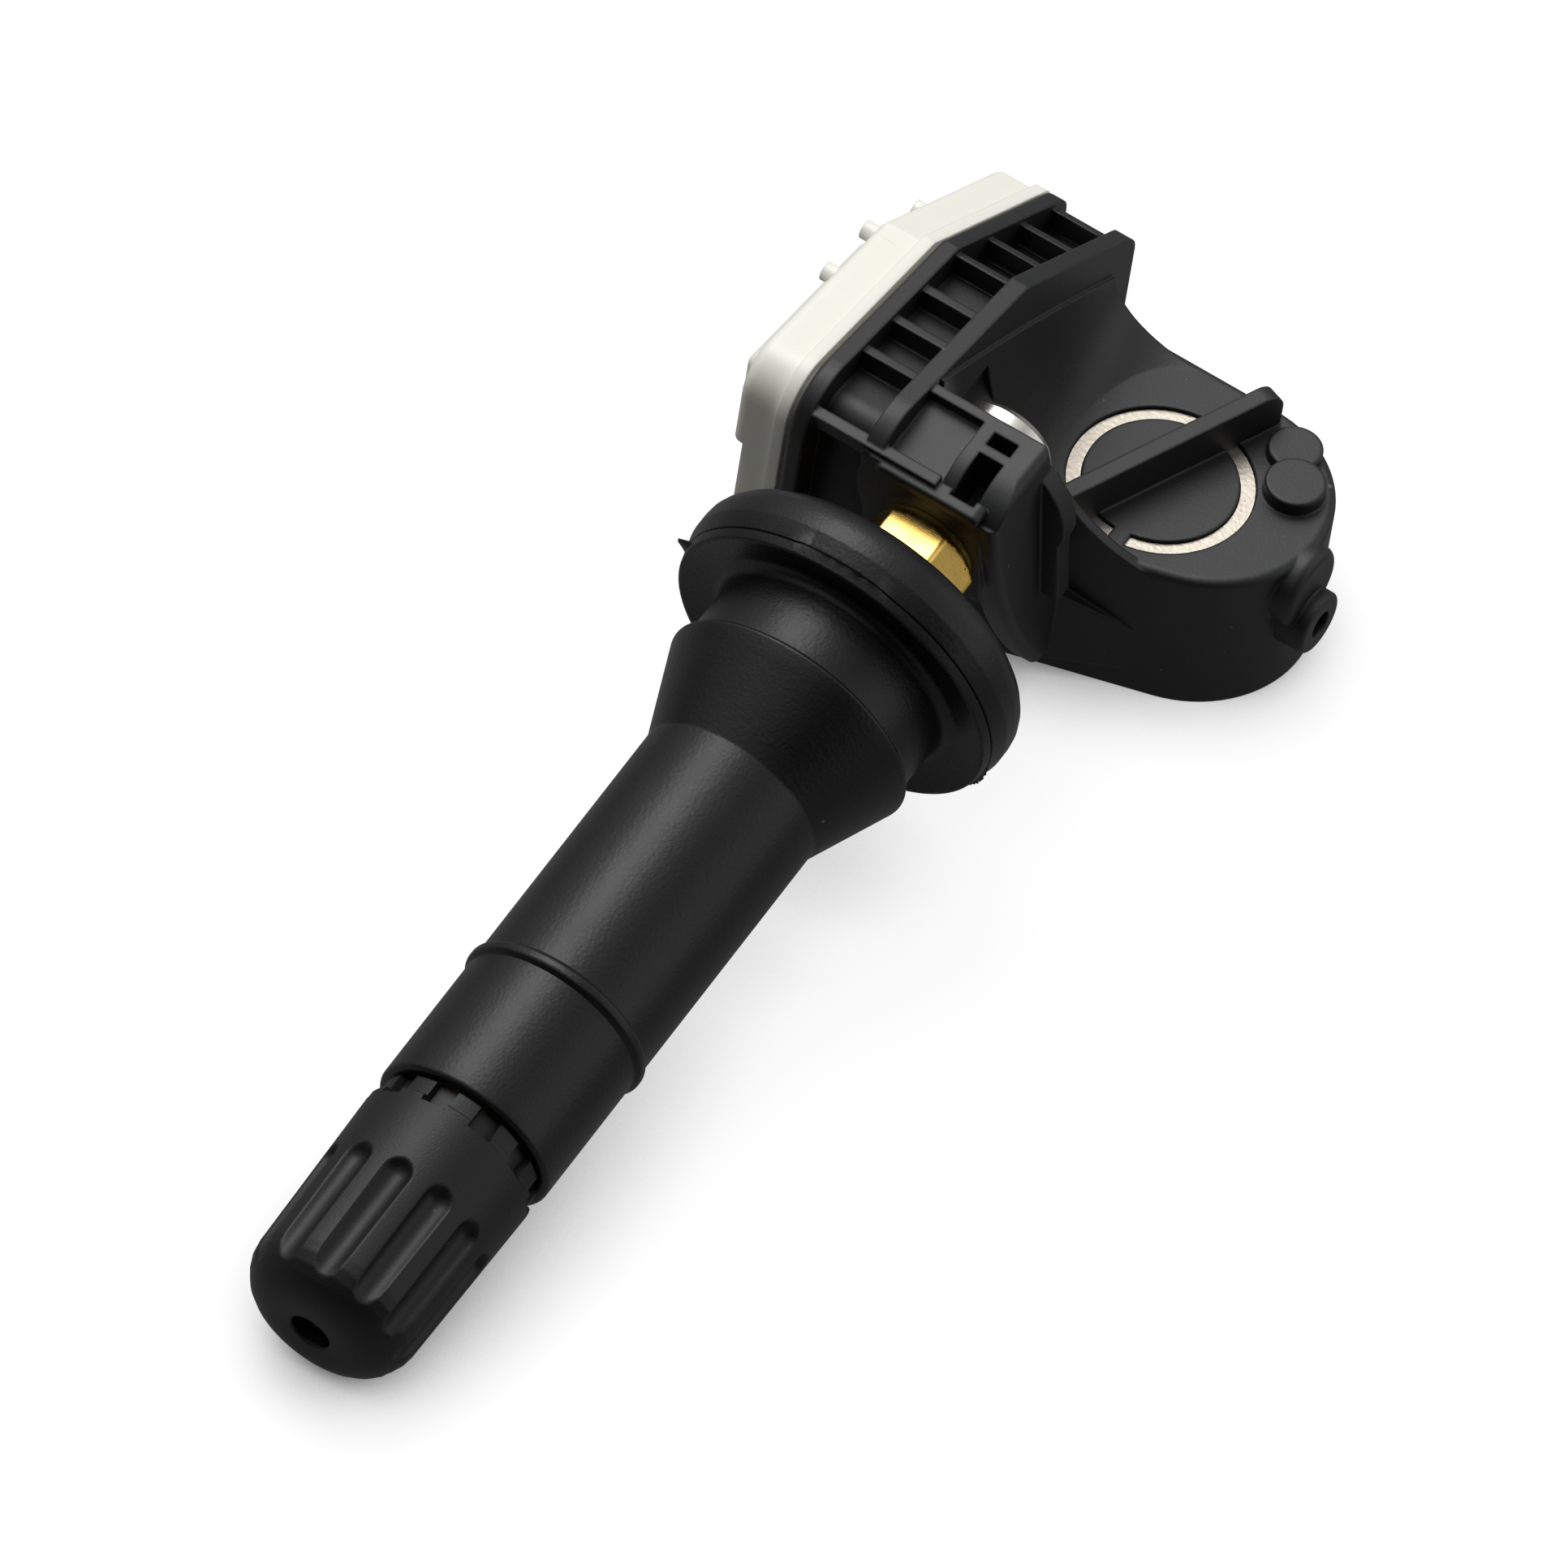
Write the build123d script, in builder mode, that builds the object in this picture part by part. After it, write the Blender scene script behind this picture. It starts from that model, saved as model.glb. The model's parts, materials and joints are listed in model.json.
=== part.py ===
"""Tyre pressure sensor with a snap-in rubber valve.

Millimetres, +Z up. The origin lies on the valve's axis, in the groove that holds the wheel rim.
+X runs from the white lid to the battery hump, +Y from the cap to the housing. The valve rises towards
the housing by stem_pitch, so the sensor rests on its flat base and on the cap.
"""
import os
from math import asin, atan2, cos, hypot, radians, sin

from build123d import *

os.makedirs("parts", exist_ok=True)

# Valve axis: stations are distances along it from the origin, negative towards the cap
stem_pitch = 11.0

# Snap-in rubber
flange_start = 0.7
flange_end = 4.8
flange_radius = 9.35
flange_swell = 3.2
flange_lip_radius = 8.95
flange_lip_rounding = 0.2
flange_dish = 1.2
flange_rounding = 1.3
neck_radius = 6.45
rim_grip = 2.8
cone_radius = 7.0
cone_rounding = 0.3
cone_length = 5.25
sleeve_radius = 4.94
sleeve_length = 31.4
ring_rib_station = 22.9
ring_rib_width = 0.85
ring_rib_height = 0.24

# Brass stem
thread_radius = 3.85
thread_length = 9.6
thread_chamfer = 0.4
barrel_radius = 3.6
barrel_length = 13.0
tube_radius = 2.4
hex_across_flats = 5.4
hex_chamfer = 0.5
hex_end = 9.05
hex_collar_radius = 2.65
core_mouth_radius = 2.6
core_mouth_length = 4.4
core_bore_radius = 2.1
core_bore_length = 11.6
air_bore_radius = 1.2
air_port_radius = 0.5
air_port_station = 5.5
screw_hole_radius = 1.5
screw_hole_depth = 3.2

# Valve core
core_clearance = 0.03
core_recess = 0.9
core_head_length = 3.45
core_barrel_radius = 1.75
core_length = 11.1
core_wall = 1.3
spring_bore_radius = 1.3
pin_radius = 0.55
pin_clearance = 0.06
pin_proud = 0.6
pin_collar_radius = 1.12
pin_collar_length = 0.6
pin_collar_gap = 0.2
pin_cup_radius = 1.6
pin_cup_length = 0.6
core_seal_length = 0.95
core_seal_gap = 0.02
gasket_length = 2.4
spring_wire = 0.15
spring_radius = 0.92
spring_turns = 7

# Cap
cap_gap = 0.1
collar_length = 0.65
collar_radius = 4.55
collar_notches = 11
collar_notch_width = 1.1
collar_notch_length = 1.3
cap_radius = 4.82
cap_tip_radius = 4.6
cap_length = 12.4
cap_end_rounding = 2.4
cap_thread_clearance = 0.06
cap_seal_thickness = 0.9
cap_seal_gap = 0.05
flute_count = 12
flute_radius = 0.95
flute_depth = 0.6
flute_start = 4.0
flute_end_margin = 0.45
cap_hole_radius = 1.3
cap_hole_depth = 1.6
cap_pip_radius = 0.45
cap_pip_height = 0.9

# Housing tray: its outline lies across X, from the near end by the valve to the far end
base_level = -12.55
near_end = 7.9
far_end = 32.8
roof_near = 8.3
roof_kink = 21.6
roof_kink_level = 7.3
roof_far_level = 0.9
near_corner_rounding = 3.0
far_corner_rounding = 1.6
base_corner_rounding = 2.8
flange_thin = 1.0
flange_edge_rounding = 0.3
cage_width = 3.05
wall_face = -2.95
wall_thickness = 1.0
rib_depth = 1.6
tray_wall = 1.1
tray_floor = 1.65
rib_thickness = 0.55
rib_drop = 0.35
roof_rib_start = 13.1
roof_rib_pitch = 2.7
roof_ribs = 3
slope_rib_pitch = 3.3
slope_ribs = 4
end_rib_pitch = 4.2
end_ribs = 2

# Battery hump, saddle and what stands on them
hump_top = -3.6
hump_x = 6.9
hump_y = 25.0
hump_radius = 6.4
hump_near = 15.2
hump_edge_rounding = 0.45
saddle_near = 13.6
saddle_near_level = 7.7
saddle_near_reach = 3.0
saddle_near_foot = -1.2
saddle_mid = 21.0
saddle_mid_level = 4.6
saddle_mid_reach = 0.6
saddle_far_level = -0.4
saddle_far_reach = 3.0
saddle_root = 1.5
saddle_ledge = 0.2
ring_x = 4.9
ring_y = 23.85
ring_outer = 4.7
ring_width = 0.72
ring_recess = 0.2
ring_clearance = 0.05
bridge_depth = 0.18
bridge_width = 0.9
bridge_angle = 274.0
hump_rib_x = 4.75
hump_rib_y = 24.4
hump_rib_angle = 69.5
hump_rib_length = 13.6
hump_rib_thickness = 0.9
hump_rib_height = 2.4
hump_rib_rounding = 1.1
large_disc_radius = 1.55
large_disc_x = 10.5
large_disc_y = 27.3
small_disc_radius = 1.4
small_disc_x = 9.2
small_disc_y = 29.35
large_disc_height = 0.85
small_disc_height = 0.6
disc_rounding = 0.15

# Pressure port
port_y = 24.3
port_z = -7.9
port_end = 14.6
port_radius = 1.7
port_hole_radius = 0.75
port_root_radius = 2.2
port_root_end = 13.9
port_root_rounding = 0.5
port_edge_rounding = 0.25
duct_radius = 0.5
duct_z = -10.7
duct_x = 11.6
filter_thickness = 0.6
filter_clearance = 0.02

# Stem bracket, in stations along the valve's axis and heights above it
seat_station = 9.3
plate_radius = 3.7
plate_left = 4.3
plate_round_radius = 5.25
plate_round_x = 1.0
plate_round_lift = 1.85
bracket_end = 14.4
bracket_top = 5.2
bracket_half = 3.0
front_bar_station = 9.5
front_bar_width = 0.65
front_bar_height = 0.95
front_room = 2.0
hood_drop = 0.3
hood_height = 0.8
hood_depth = 0.5
hood_rounding = 0.2
rail_bend_start = 12.0
rail_bend_drop = 1.2
shoulder_radius = 5.3
shoulder_thickness = 1.0
web_reach = 4.95
web_drop = 6.8
rail_thickness = 0.6
pocket_start = 10.15
pocket_end = 13.85
pocket_depth = 0.7
mid_rail_x = 0.25
mid_rail_width = 0.75
slot_start = 9.65
slot_end = 12.3
slot_depth = 3.2
small_slot_start = 12.85
small_slot_end = 13.65
small_slot_depth = 2.0
strut_x = 2.4
strut_thickness = 1.5
strut_knee_y = 12.2
strut_knee_z = -5.2
strut_foot_y = 15.6
strut_foot_z = -10.9
strut_back_y = 17.6
strut_back_z = -6.5
strut_rounding = 0.5
gusset_level = -6.3
gusset_start = 6.7
gusset_length = 4.2
gusset_fall = 1.9
gusset_foot = -11.2
gusset_depth = 0.8
lip_thickness = 0.6
lip_top = 1.2
lip_start = 5.6
lip_end = 11.4
lip_sag = 1.2

# Screw
screw_radius = 1.45
screw_clearance = 0.1
screw_length = 8.0
screw_head_radius = 2.65
screw_head_height = 2.3
screw_head_chamfer = 0.4
screw_head_room = 0.35
screw_head_run = 2.0
socket_radius = 1.0
socket_lobe = 0.42
socket_lobes = 6
socket_depth = 1.3

# Lid
lid_gap = 0.3
lid_inset = 0.45
lid_stretch = 1.1
lid_step_level = 1.8
lid_step_end = 11.5
lid_step_depth = 0.7
lid_depth = 3.0
lid_rim_height = 0.7
lid_rim_step = 0.3
lid_wall = 1.0
lid_roof = 0.9
lid_edge_rounding = 0.6
plateau_inset = 1.8
plateau_height = 0.7
plateau_slope = 0.5
pip_radius = 0.5
pip_height = 0.35
tall_pip_height = 0.45
tall_pip_y = 21.9
tall_pip_z = 4.5
near_pip_y = 18.1
near_pip_z = 4.9
far_pip_y = 26.9
far_pip_z = 1.55
weld_inset = 0.9
weld_width = 0.8
spigot_depth = 0.7
spigot_wall = 0.7
spigot_clearance = 0.1

# Battery and its tabs
cell_radius = 5.0
cell_height = 4.2
cell_clearance = 0.05
cell_rounding = 0.2
cell_cover = 1.6
tab_thickness = 0.15
tab_width = 2.4
tab_clearance = 0.15
tab_rise = 2.2
tab_foot = 0.5
negative_tab_drop = 1.4
tab_slot_run = 1.4

# Circuit board and what is on it
board_thickness = 0.8
board_clearance = 0.25
board_stand = 1.6
post_radius = 0.9
post_spread_y = 6.4
post_spread_z = 4.6
post_y = 19.6
post_z = -4.2
sensor_side = 5.2
sensor_height = 1.9
sensor_port_radius = 0.7
sensor_port_depth = 0.8
sensor_y = 25.6
sensor_z = -5.4
transmitter_side = 4.0
transmitter_height = 0.9
transmitter_y = 15.2
transmitter_z = 0.6
crystal_length = 3.2
crystal_width = 2.5
crystal_height = 0.7
crystal_rounding = 0.5
crystal_y = 20.6
crystal_margin = 0.3
coil_length = 7.4
coil_width = 2.4
coil_height = 2.0
coil_flange = 1.2
coil_waist = 0.5
winding_margin = 0.1
coil_y = 16.6
coil_z = -6.2
capacitor_length = 1.0
capacitor_width = 0.5
capacitor_pitch = 1.3
capacitor_count = 5
capacitor_y = 24.6
capacitor_z = -1.6
capacitor_height = 0.6

# Worked out from the sizes above
axis_along = (0, cos(radians(stem_pitch)), sin(radians(stem_pitch)))
stem_axis = Axis((0, 0, 0), axis_along)
stem_side = Plane(origin=(0, 0, 0), x_dir=axis_along, z_dir=(1, 0, 0))
cone_end = rim_grip + cone_length
stem_tip = sleeve_length + thread_length
hex_corner = hex_across_flats / 2 / cos(radians(30))
core_start = core_recess - stem_tip
core_end = core_start + core_length
cap_start = sleeve_length + cap_gap
cap_shoulder = cap_start + collar_length
cap_end = cap_shoulder + cap_length
cap_floor = stem_tip + cap_seal_gap + cap_seal_thickness
cap_bore_radius = thread_radius + cap_thread_clearance
cage_end = wall_face - wall_thickness
cage_start = cage_end - cage_width
tray_mouth = cage_start - flange_thin
tray_bottom = wall_face - tray_floor
cavity_inset = rib_depth + tray_wall
hump_far = hump_y + hump_radius
saddle_end = hump_far - hump_edge_rounding
cell_top = hump_top - cell_cover
cell_bottom = cell_top - cell_height
ring_inner = ring_outer - ring_width
board_face = tray_bottom - board_stand
board_back = board_face - board_thickness
lid_rim = tray_mouth - lid_gap
lid_face = lid_rim - lid_depth
roof_fall = (roof_kink_level - roof_far_level) / (far_end - roof_kink)
spigot_reach = cavity_inset + spigot_clearance + spigot_wall
crystal_past_kink = max(crystal_y + crystal_length / 2 - roof_kink, 0)
crystal_roof = roof_kink_level - crystal_past_kink * roof_fall - spigot_reach * hypot(1, roof_fall)
crystal_z = crystal_roof - crystal_margin - crystal_width / 2
screw_hole = screw_radius + screw_clearance
front_reach = hypot(hump_x - wall_face, hump_y - hump_near)
front_angle = atan2(hump_y - hump_near, hump_x - wall_face) - asin(hump_radius / front_reach)
tab_slot_height = tab_thickness + 2 * tab_clearance
tab_slot_width = tab_width + 2 * tab_clearance
positive_level = cell_bottom - tab_thickness / 2
negative_level = cell_top - negative_tab_drop
duct_end = ring_x + tab_slot_run / 2
rib_places = [roof_rib_start + roof_rib_pitch * step for step in range(roof_ribs)]
rib_places += [roof_kink + slope_rib_pitch * step for step in range(slope_ribs)]


def across(station):
    """Plane square to the valve's axis at a station, facing the cap, its local y up."""
    point = tuple(station * part for part in axis_along)
    return Plane(origin=point, x_dir=(1, 0, 0), z_dir=tuple(-part for part in axis_along))


def from_axis(station, height):
    """Y and Z of a point in the middle plane, from its station and its height above the valve's axis."""
    return (
        station * axis_along[1] - height * axis_along[2],
        station * axis_along[2] + height * axis_along[1],
    )


def rectangle_between(left, right, low, high, mode=Mode.ADD):
    """Rectangle from its four sides."""
    with Locations(((left + right) / 2, (low + high) / 2)):
        Rectangle(right - left, high - low, mode=mode)


def turned(points):
    """Ring-shaped solid turned about the valve's axis from (station, radius) points."""
    with BuildPart() as ring:
        with BuildSketch(stem_side):
            with BuildLine():
                Polyline(*points, close=True)
            make_face()
        revolve(axis=stem_axis)
    return ring.part


def tray_outline(inset=0.0, stretch=0.0):
    """Outline of the tray, drawn smaller by inset and longer by stretch, along Y and Z."""
    end = far_end + stretch
    end_level = roof_far_level - stretch * roof_fall
    with BuildSketch() as outline:
        with BuildLine():
            Polyline(
                (near_end, base_level),
                (near_end, roof_near),
                (roof_kink, roof_kink_level),
                (end, end_level),
                (end, base_level),
                close=True,
            )
        make_face()
        fillet(outline.vertices().group_by(Axis.Y)[0], base_corner_rounding)
        fillet(outline.vertices().sort_by_distance((near_end, roof_near))[0], near_corner_rounding)
        fillet(outline.vertices().sort_by_distance((end, end_level))[0], far_corner_rounding)
        if inset:
            offset(amount=-inset, mode=Mode.REPLACE)
    return outline.sketch


# Snap-in rubber: flange, rim groove, cone and sleeve, moulded onto the stem
rubber_blank = turned([
    (-sleeve_length, barrel_radius),
    (-sleeve_length, sleeve_radius),
    (-cone_end, sleeve_radius),
    (-rim_grip, cone_radius),
    (-rim_grip, neck_radius),
    (flange_dish, neck_radius),
    (flange_start, flange_lip_radius - flange_lip_rounding),
    (flange_start, flange_lip_radius),
    (flange_swell, flange_radius),
    (flange_end, flange_radius),
    (flange_end, tube_radius),
    (barrel_length - sleeve_length, tube_radius),
    (barrel_length - sleeve_length, barrel_radius),
])
with BuildPart() as rubber:
    add(rubber_blank)
    rims = rubber.edges().filter_by(GeomType.CIRCLE)
    fillet(rims.filter_by(lambda edge: abs(edge.radius - cone_radius) < 0.01), cone_rounding)
    rims = rubber.edges().filter_by(GeomType.CIRCLE)
    widest = rims.filter_by(lambda edge: abs(edge.radius - flange_radius) < 0.01)
    fillet(widest.sort_by(stem_axis)[-1], flange_rounding)
    with BuildSketch(stem_side):
        with Locations((-ring_rib_station - ring_rib_width / 2, sleeve_radius)):
            Ellipse(ring_rib_width / 2, ring_rib_height)
    revolve(axis=stem_axis)
rubber.part.label = "valve_rubber"
export_step(rubber.part, "parts/valve_rubber.step")

# Brass stem: threaded tip, barrel and tube under the rubber, then the hexagon that meets the bracket
stem_blank = turned([
    (-stem_tip, core_mouth_radius),
    (-stem_tip, thread_radius - thread_chamfer),
    (-stem_tip + thread_chamfer, thread_radius),
    (-sleeve_length, thread_radius),
    (-sleeve_length, barrel_radius),
    (barrel_length - sleeve_length, barrel_radius),
    (barrel_length - sleeve_length, tube_radius),
    (flange_end, tube_radius),
    (flange_end, hex_collar_radius),
    (seat_station, hex_collar_radius),
    (seat_station, screw_hole_radius),
    (seat_station - screw_hole_depth, screw_hole_radius),
    (seat_station - screw_hole_depth, air_bore_radius),
    (core_mouth_length + core_bore_length - stem_tip, air_bore_radius),
    (core_mouth_length + core_bore_length - stem_tip, core_bore_radius),
    (core_mouth_length - stem_tip, core_bore_radius),
    (core_mouth_length - stem_tip, core_mouth_radius),
])
hex_bevel = turned([
    (hex_end - hex_chamfer, hex_corner + hex_chamfer),
    (hex_end - hex_chamfer, hex_corner),
    (hex_end, tube_radius),
    (hex_end, hex_corner + hex_chamfer),
])
with BuildPart() as stem:
    with BuildSketch(across(hex_end)):
        RegularPolygon(hex_across_flats / 2, 6, major_radius=False)
        Circle(tube_radius - hex_chamfer, mode=Mode.SUBTRACT)
    extrude(amount=hex_end - flange_end)
    add(hex_bevel, mode=Mode.SUBTRACT)
    add(stem_blank)
    with Locations(Plane(origin=across(air_port_station).origin, z_dir=(1, 0, 0))):
        Cylinder(air_port_radius, 2 * hex_corner, mode=Mode.SUBTRACT)
stem.part.label = "valve_stem"
export_step(stem.part, "parts/valve_stem.step")

# Valve core: sleeve with a spring chamber, screwed into the stem's mouth
core_body = turned([
    (core_start, pin_radius + pin_clearance),
    (core_start, core_mouth_radius - core_clearance),
    (core_start + core_head_length, core_mouth_radius - core_clearance),
    (core_start + core_head_length, core_barrel_radius),
    (core_end, core_barrel_radius),
    (core_end, pin_radius + pin_clearance),
    (core_end - core_wall, pin_radius + pin_clearance),
    (core_end - core_wall, spring_bore_radius),
    (core_start + core_wall, spring_bore_radius),
    (core_start + core_wall, pin_radius + pin_clearance),
])
core_body.label = "valve_core_body"
export_step(core_body, "parts/valve_core_body.step")

# Sealing barrel on the core
core_gasket = turned([
    (core_start + core_head_length, core_barrel_radius),
    (core_start + core_head_length, core_bore_radius - core_clearance),
    (core_start + core_head_length + gasket_length, core_barrel_radius + core_clearance),
    (core_start + core_head_length + gasket_length, core_barrel_radius),
])
core_gasket.label = "valve_core_gasket"
export_step(core_gasket, "parts/valve_core_gasket.step")

# Core pin with its spring collar and the cup that carries the seal
collar_at = core_start + core_wall + pin_collar_gap
spring_start = collar_at + pin_collar_length
seal_start = core_end + core_seal_gap
cup_start = seal_start + core_seal_length
core_pin = turned([
    (core_start - pin_proud, 0),
    (core_start - pin_proud, pin_radius),
    (collar_at, pin_radius),
    (collar_at, pin_collar_radius),
    (spring_start, pin_collar_radius),
    (spring_start, pin_radius),
    (cup_start, pin_radius),
    (cup_start, pin_cup_radius),
    (cup_start + pin_cup_length, pin_cup_radius),
    (cup_start + pin_cup_length, 0),
])
core_pin.label = "valve_core_pin"
export_step(core_pin, "parts/valve_core_pin.step")

# Rubber washer that shuts the core
core_seal = turned([
    (seal_start, pin_radius),
    (seal_start, pin_cup_radius),
    (cup_start, pin_cup_radius),
    (cup_start, pin_radius),
])
core_seal.label = "valve_core_seal"
export_step(core_seal, "parts/valve_core_seal.step")

# Core spring between the pin's collar and the chamber's end wall
spring_length = core_end - core_wall - spring_start
with BuildPart() as spring:
    with BuildLine() as coil:
        Helix(
            pitch=(spring_length - 2 * spring_wire) / spring_turns,
            height=spring_length - 2 * spring_wire,
            radius=spring_radius,
            center=across(spring_start + spring_wire).origin,
            direction=axis_along,
        )
    with BuildSketch(Plane(origin=coil.line @ 0, z_dir=coil.line % 0)):
        RegularPolygon(spring_wire, 6)
    sweep(path=coil.line, is_frenet=True)
spring.part.label = "valve_core_spring"
export_step(spring.part, "parts/valve_core_spring.step")

# Cap: fluted barrel, castellated skirt, blind hole in its end
cap_blank = turned([
    (-cap_start, cap_bore_radius),
    (-cap_start, collar_radius),
    (-cap_shoulder, collar_radius),
    (-cap_shoulder, cap_radius),
    (-cap_end, cap_tip_radius),
    (-cap_end, 0),
    (-cap_floor, 0),
    (-cap_floor, cap_bore_radius),
])
flute_from = -cap_shoulder - flute_start - flute_radius
flute_to = -cap_end + flute_end_margin + flute_radius
flute_centre = cap_radius - flute_depth + flute_radius
with BuildPart() as cap:
    add(cap_blank)
    fillet(cap.edges().filter_by(GeomType.CIRCLE).sort_by(stem_axis)[0], cap_end_rounding)
    with BuildSketch(across(flute_from)):
        with PolarLocations(flute_centre, flute_count):
            Circle(flute_radius)
    extrude(amount=flute_from - flute_to, mode=Mode.SUBTRACT)
    for flute_tip in (flute_from, flute_to):
        with Locations(across(flute_tip)):
            with PolarLocations(flute_centre, flute_count):
                Sphere(flute_radius, mode=Mode.SUBTRACT)
    with Locations(across(-cap_start)):
        with PolarLocations(collar_radius, collar_notches):
            Box(
                collar_radius - cap_bore_radius,
                collar_notch_width,
                2 * collar_notch_length,
                mode=Mode.SUBTRACT,
            )
    with BuildSketch(across(-cap_end)):
        Circle(cap_hole_radius)
    extrude(amount=-cap_hole_depth, mode=Mode.SUBTRACT)
    with BuildSketch(across(-cap_end + cap_hole_depth)):
        Circle(cap_pip_radius)
    extrude(amount=cap_pip_height)
cap.part.label = "valve_cap"
export_step(cap.part, "parts/valve_cap.step")

# Rubber disc in the cap, which seals against the stem's tip
cap_seal = turned([
    (-cap_floor, 0),
    (-cap_floor, cap_bore_radius),
    (-stem_tip - cap_seal_gap, cap_bore_radius),
    (-stem_tip - cap_seal_gap, 0),
])
cap_seal.label = "valve_cap_seal"
export_step(cap_seal, "parts/valve_cap_seal.step")

# Screw from the saddle into the stem's end
screw_blank = turned([
    (bracket_end - screw_length, 0),
    (bracket_end - screw_length, screw_radius),
    (bracket_end, screw_radius),
    (bracket_end, screw_head_radius),
    (bracket_end + screw_head_height - screw_head_chamfer, screw_head_radius),
    (bracket_end + screw_head_height, screw_head_radius - screw_head_chamfer),
    (bracket_end + screw_head_height, 0),
])
with BuildPart() as screw:
    add(screw_blank)
    with BuildSketch(across(bracket_end + screw_head_height)):
        Circle(socket_radius)
        with PolarLocations(socket_radius, socket_lobes):
            Circle(socket_lobe)
    extrude(amount=socket_depth, mode=Mode.SUBTRACT)
screw.part.label = "stem_screw"
export_step(screw.part, "parts/stem_screw.step")

# Saddle: hollow surface that sweeps from the tray's wall down to the hump, shallow at the far end
saddle_sections = [
    (saddle_near, saddle_near_level, saddle_near_reach, saddle_near_foot),
    (saddle_mid, saddle_mid_level, saddle_mid_reach, hump_top),
    (saddle_end, saddle_far_level, saddle_far_reach, hump_top),
]
with BuildPart() as saddle:
    for place, level, reach, foot in saddle_sections:
        ledge = wall_face + saddle_ledge
        with BuildSketch(Plane.XZ.offset(-place)):
            with BuildLine():
                EllipticalCenterArc((reach, level), reach - ledge, level - foot, start_angle=180, arc_size=90)
                Polyline(
                    (reach, foot),
                    (reach, hump_top - saddle_root),
                    (wall_face - wall_thickness / 2, hump_top - saddle_root),
                    (wall_face - wall_thickness / 2, level),
                    (ledge, level),
                )
            make_face()
    loft()

# Strut from the bracket's right rail down to the hump's foot
rail_near = from_axis(seat_station, bracket_top)
rail_far = from_axis(bracket_end, bracket_top)
with BuildPart() as strut:
    with BuildSketch(Plane.YZ.offset(strut_x)):
        with BuildLine():
            ThreePointArc(rail_near, (strut_knee_y, strut_knee_z), (strut_foot_y, strut_foot_z))
            Polyline(
                (strut_foot_y, strut_foot_z),
                (strut_back_y, strut_foot_z),
                (strut_back_y, strut_back_z),
                rail_far,
                rail_near,
            )
        make_face()
    extrude(amount=strut_thickness)
    fillet(strut.faces().sort_by(Axis.X)[-1].edges(), strut_rounding)

# Rib over the hump, rounded at its far end
with BuildPart() as hump_rib:
    with BuildSketch(Plane.XY.offset(hump_top - bridge_depth)):
        with Locations((hump_rib_x, hump_rib_y)):
            Rectangle(hump_rib_length, hump_rib_thickness, rotation=hump_rib_angle)
    extrude(amount=hump_rib_height + bridge_depth)
    fillet(hump_rib.faces().sort_by(Axis.Y)[-1].edges().sort_by(Axis.Z)[-1], hump_rib_rounding)

# Two discs on the hump, the large one a little taller
with BuildPart() as discs:
    with BuildSketch(Plane.XY.offset(hump_top - hump_edge_rounding)):
        with Locations((small_disc_x, small_disc_y)):
            Circle(small_disc_radius)
    extrude(amount=small_disc_height + hump_edge_rounding)
    fillet(discs.faces().sort_by(Axis.Z)[-1].edges(), disc_rounding)
    with BuildSketch(Plane.XY.offset(hump_top - hump_edge_rounding)):
        with Locations((large_disc_x, large_disc_y)):
            Circle(large_disc_radius)
    extrude(amount=large_disc_height + hump_edge_rounding)
    fillet(discs.faces().sort_by(Axis.Z)[-1].edges(), disc_rounding)

# Planes on the hump's slanting front wall and on top of the stem bracket
front_along = (cos(front_angle), sin(front_angle), 0)
front_wall = Plane(
    origin=(wall_face, hump_near, 0), x_dir=front_along, z_dir=(front_along[1], -front_along[0], 0)
)
ladder = Plane(
    origin=(0, *from_axis(0, bracket_top)), x_dir=(1, 0, 0), z_dir=(0, -axis_along[2], axis_along[1])
)

# Gusset: fin on the front wall, deepest by the strut, that falls and fades along the wall
with BuildPart() as gusset:
    with BuildSketch(Plane(origin=front_wall.origin, x_dir=front_along, z_dir=(0, 0, 1)).offset(gusset_foot)):
        with BuildLine():
            Polyline(
                (gusset_start, lip_thickness),
                (gusset_start, -gusset_depth),
                (gusset_start + gusset_length, 0),
                (gusset_start + gusset_length, lip_thickness),
                close=True,
            )
        make_face()
    extrude(amount=gusset_level - gusset_foot)
    with BuildSketch(front_wall.offset(2 * gusset_depth)):
        with BuildLine():
            Polyline(
                (gusset_start, gusset_level),
                (gusset_start + gusset_length, gusset_level),
                (gusset_start + gusset_length, gusset_level - gusset_fall),
                close=True,
            )
        make_face()
    extrude(amount=-4 * gusset_depth - 2 * lip_thickness, mode=Mode.SUBTRACT)

# Hood: round-ended bar in front of the stem bracket
with BuildPart() as hood:
    with BuildSketch(across(front_bar_station + hood_depth)):
        with Locations((0, bracket_top - hood_drop - hood_height / 2)):
            SlotOverall(2 * bracket_half, hood_height)
    extrude(amount=2 * hood_depth)
    fillet(hood.faces().sort_by(stem_axis)[0].edges(), hood_rounding)

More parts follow.
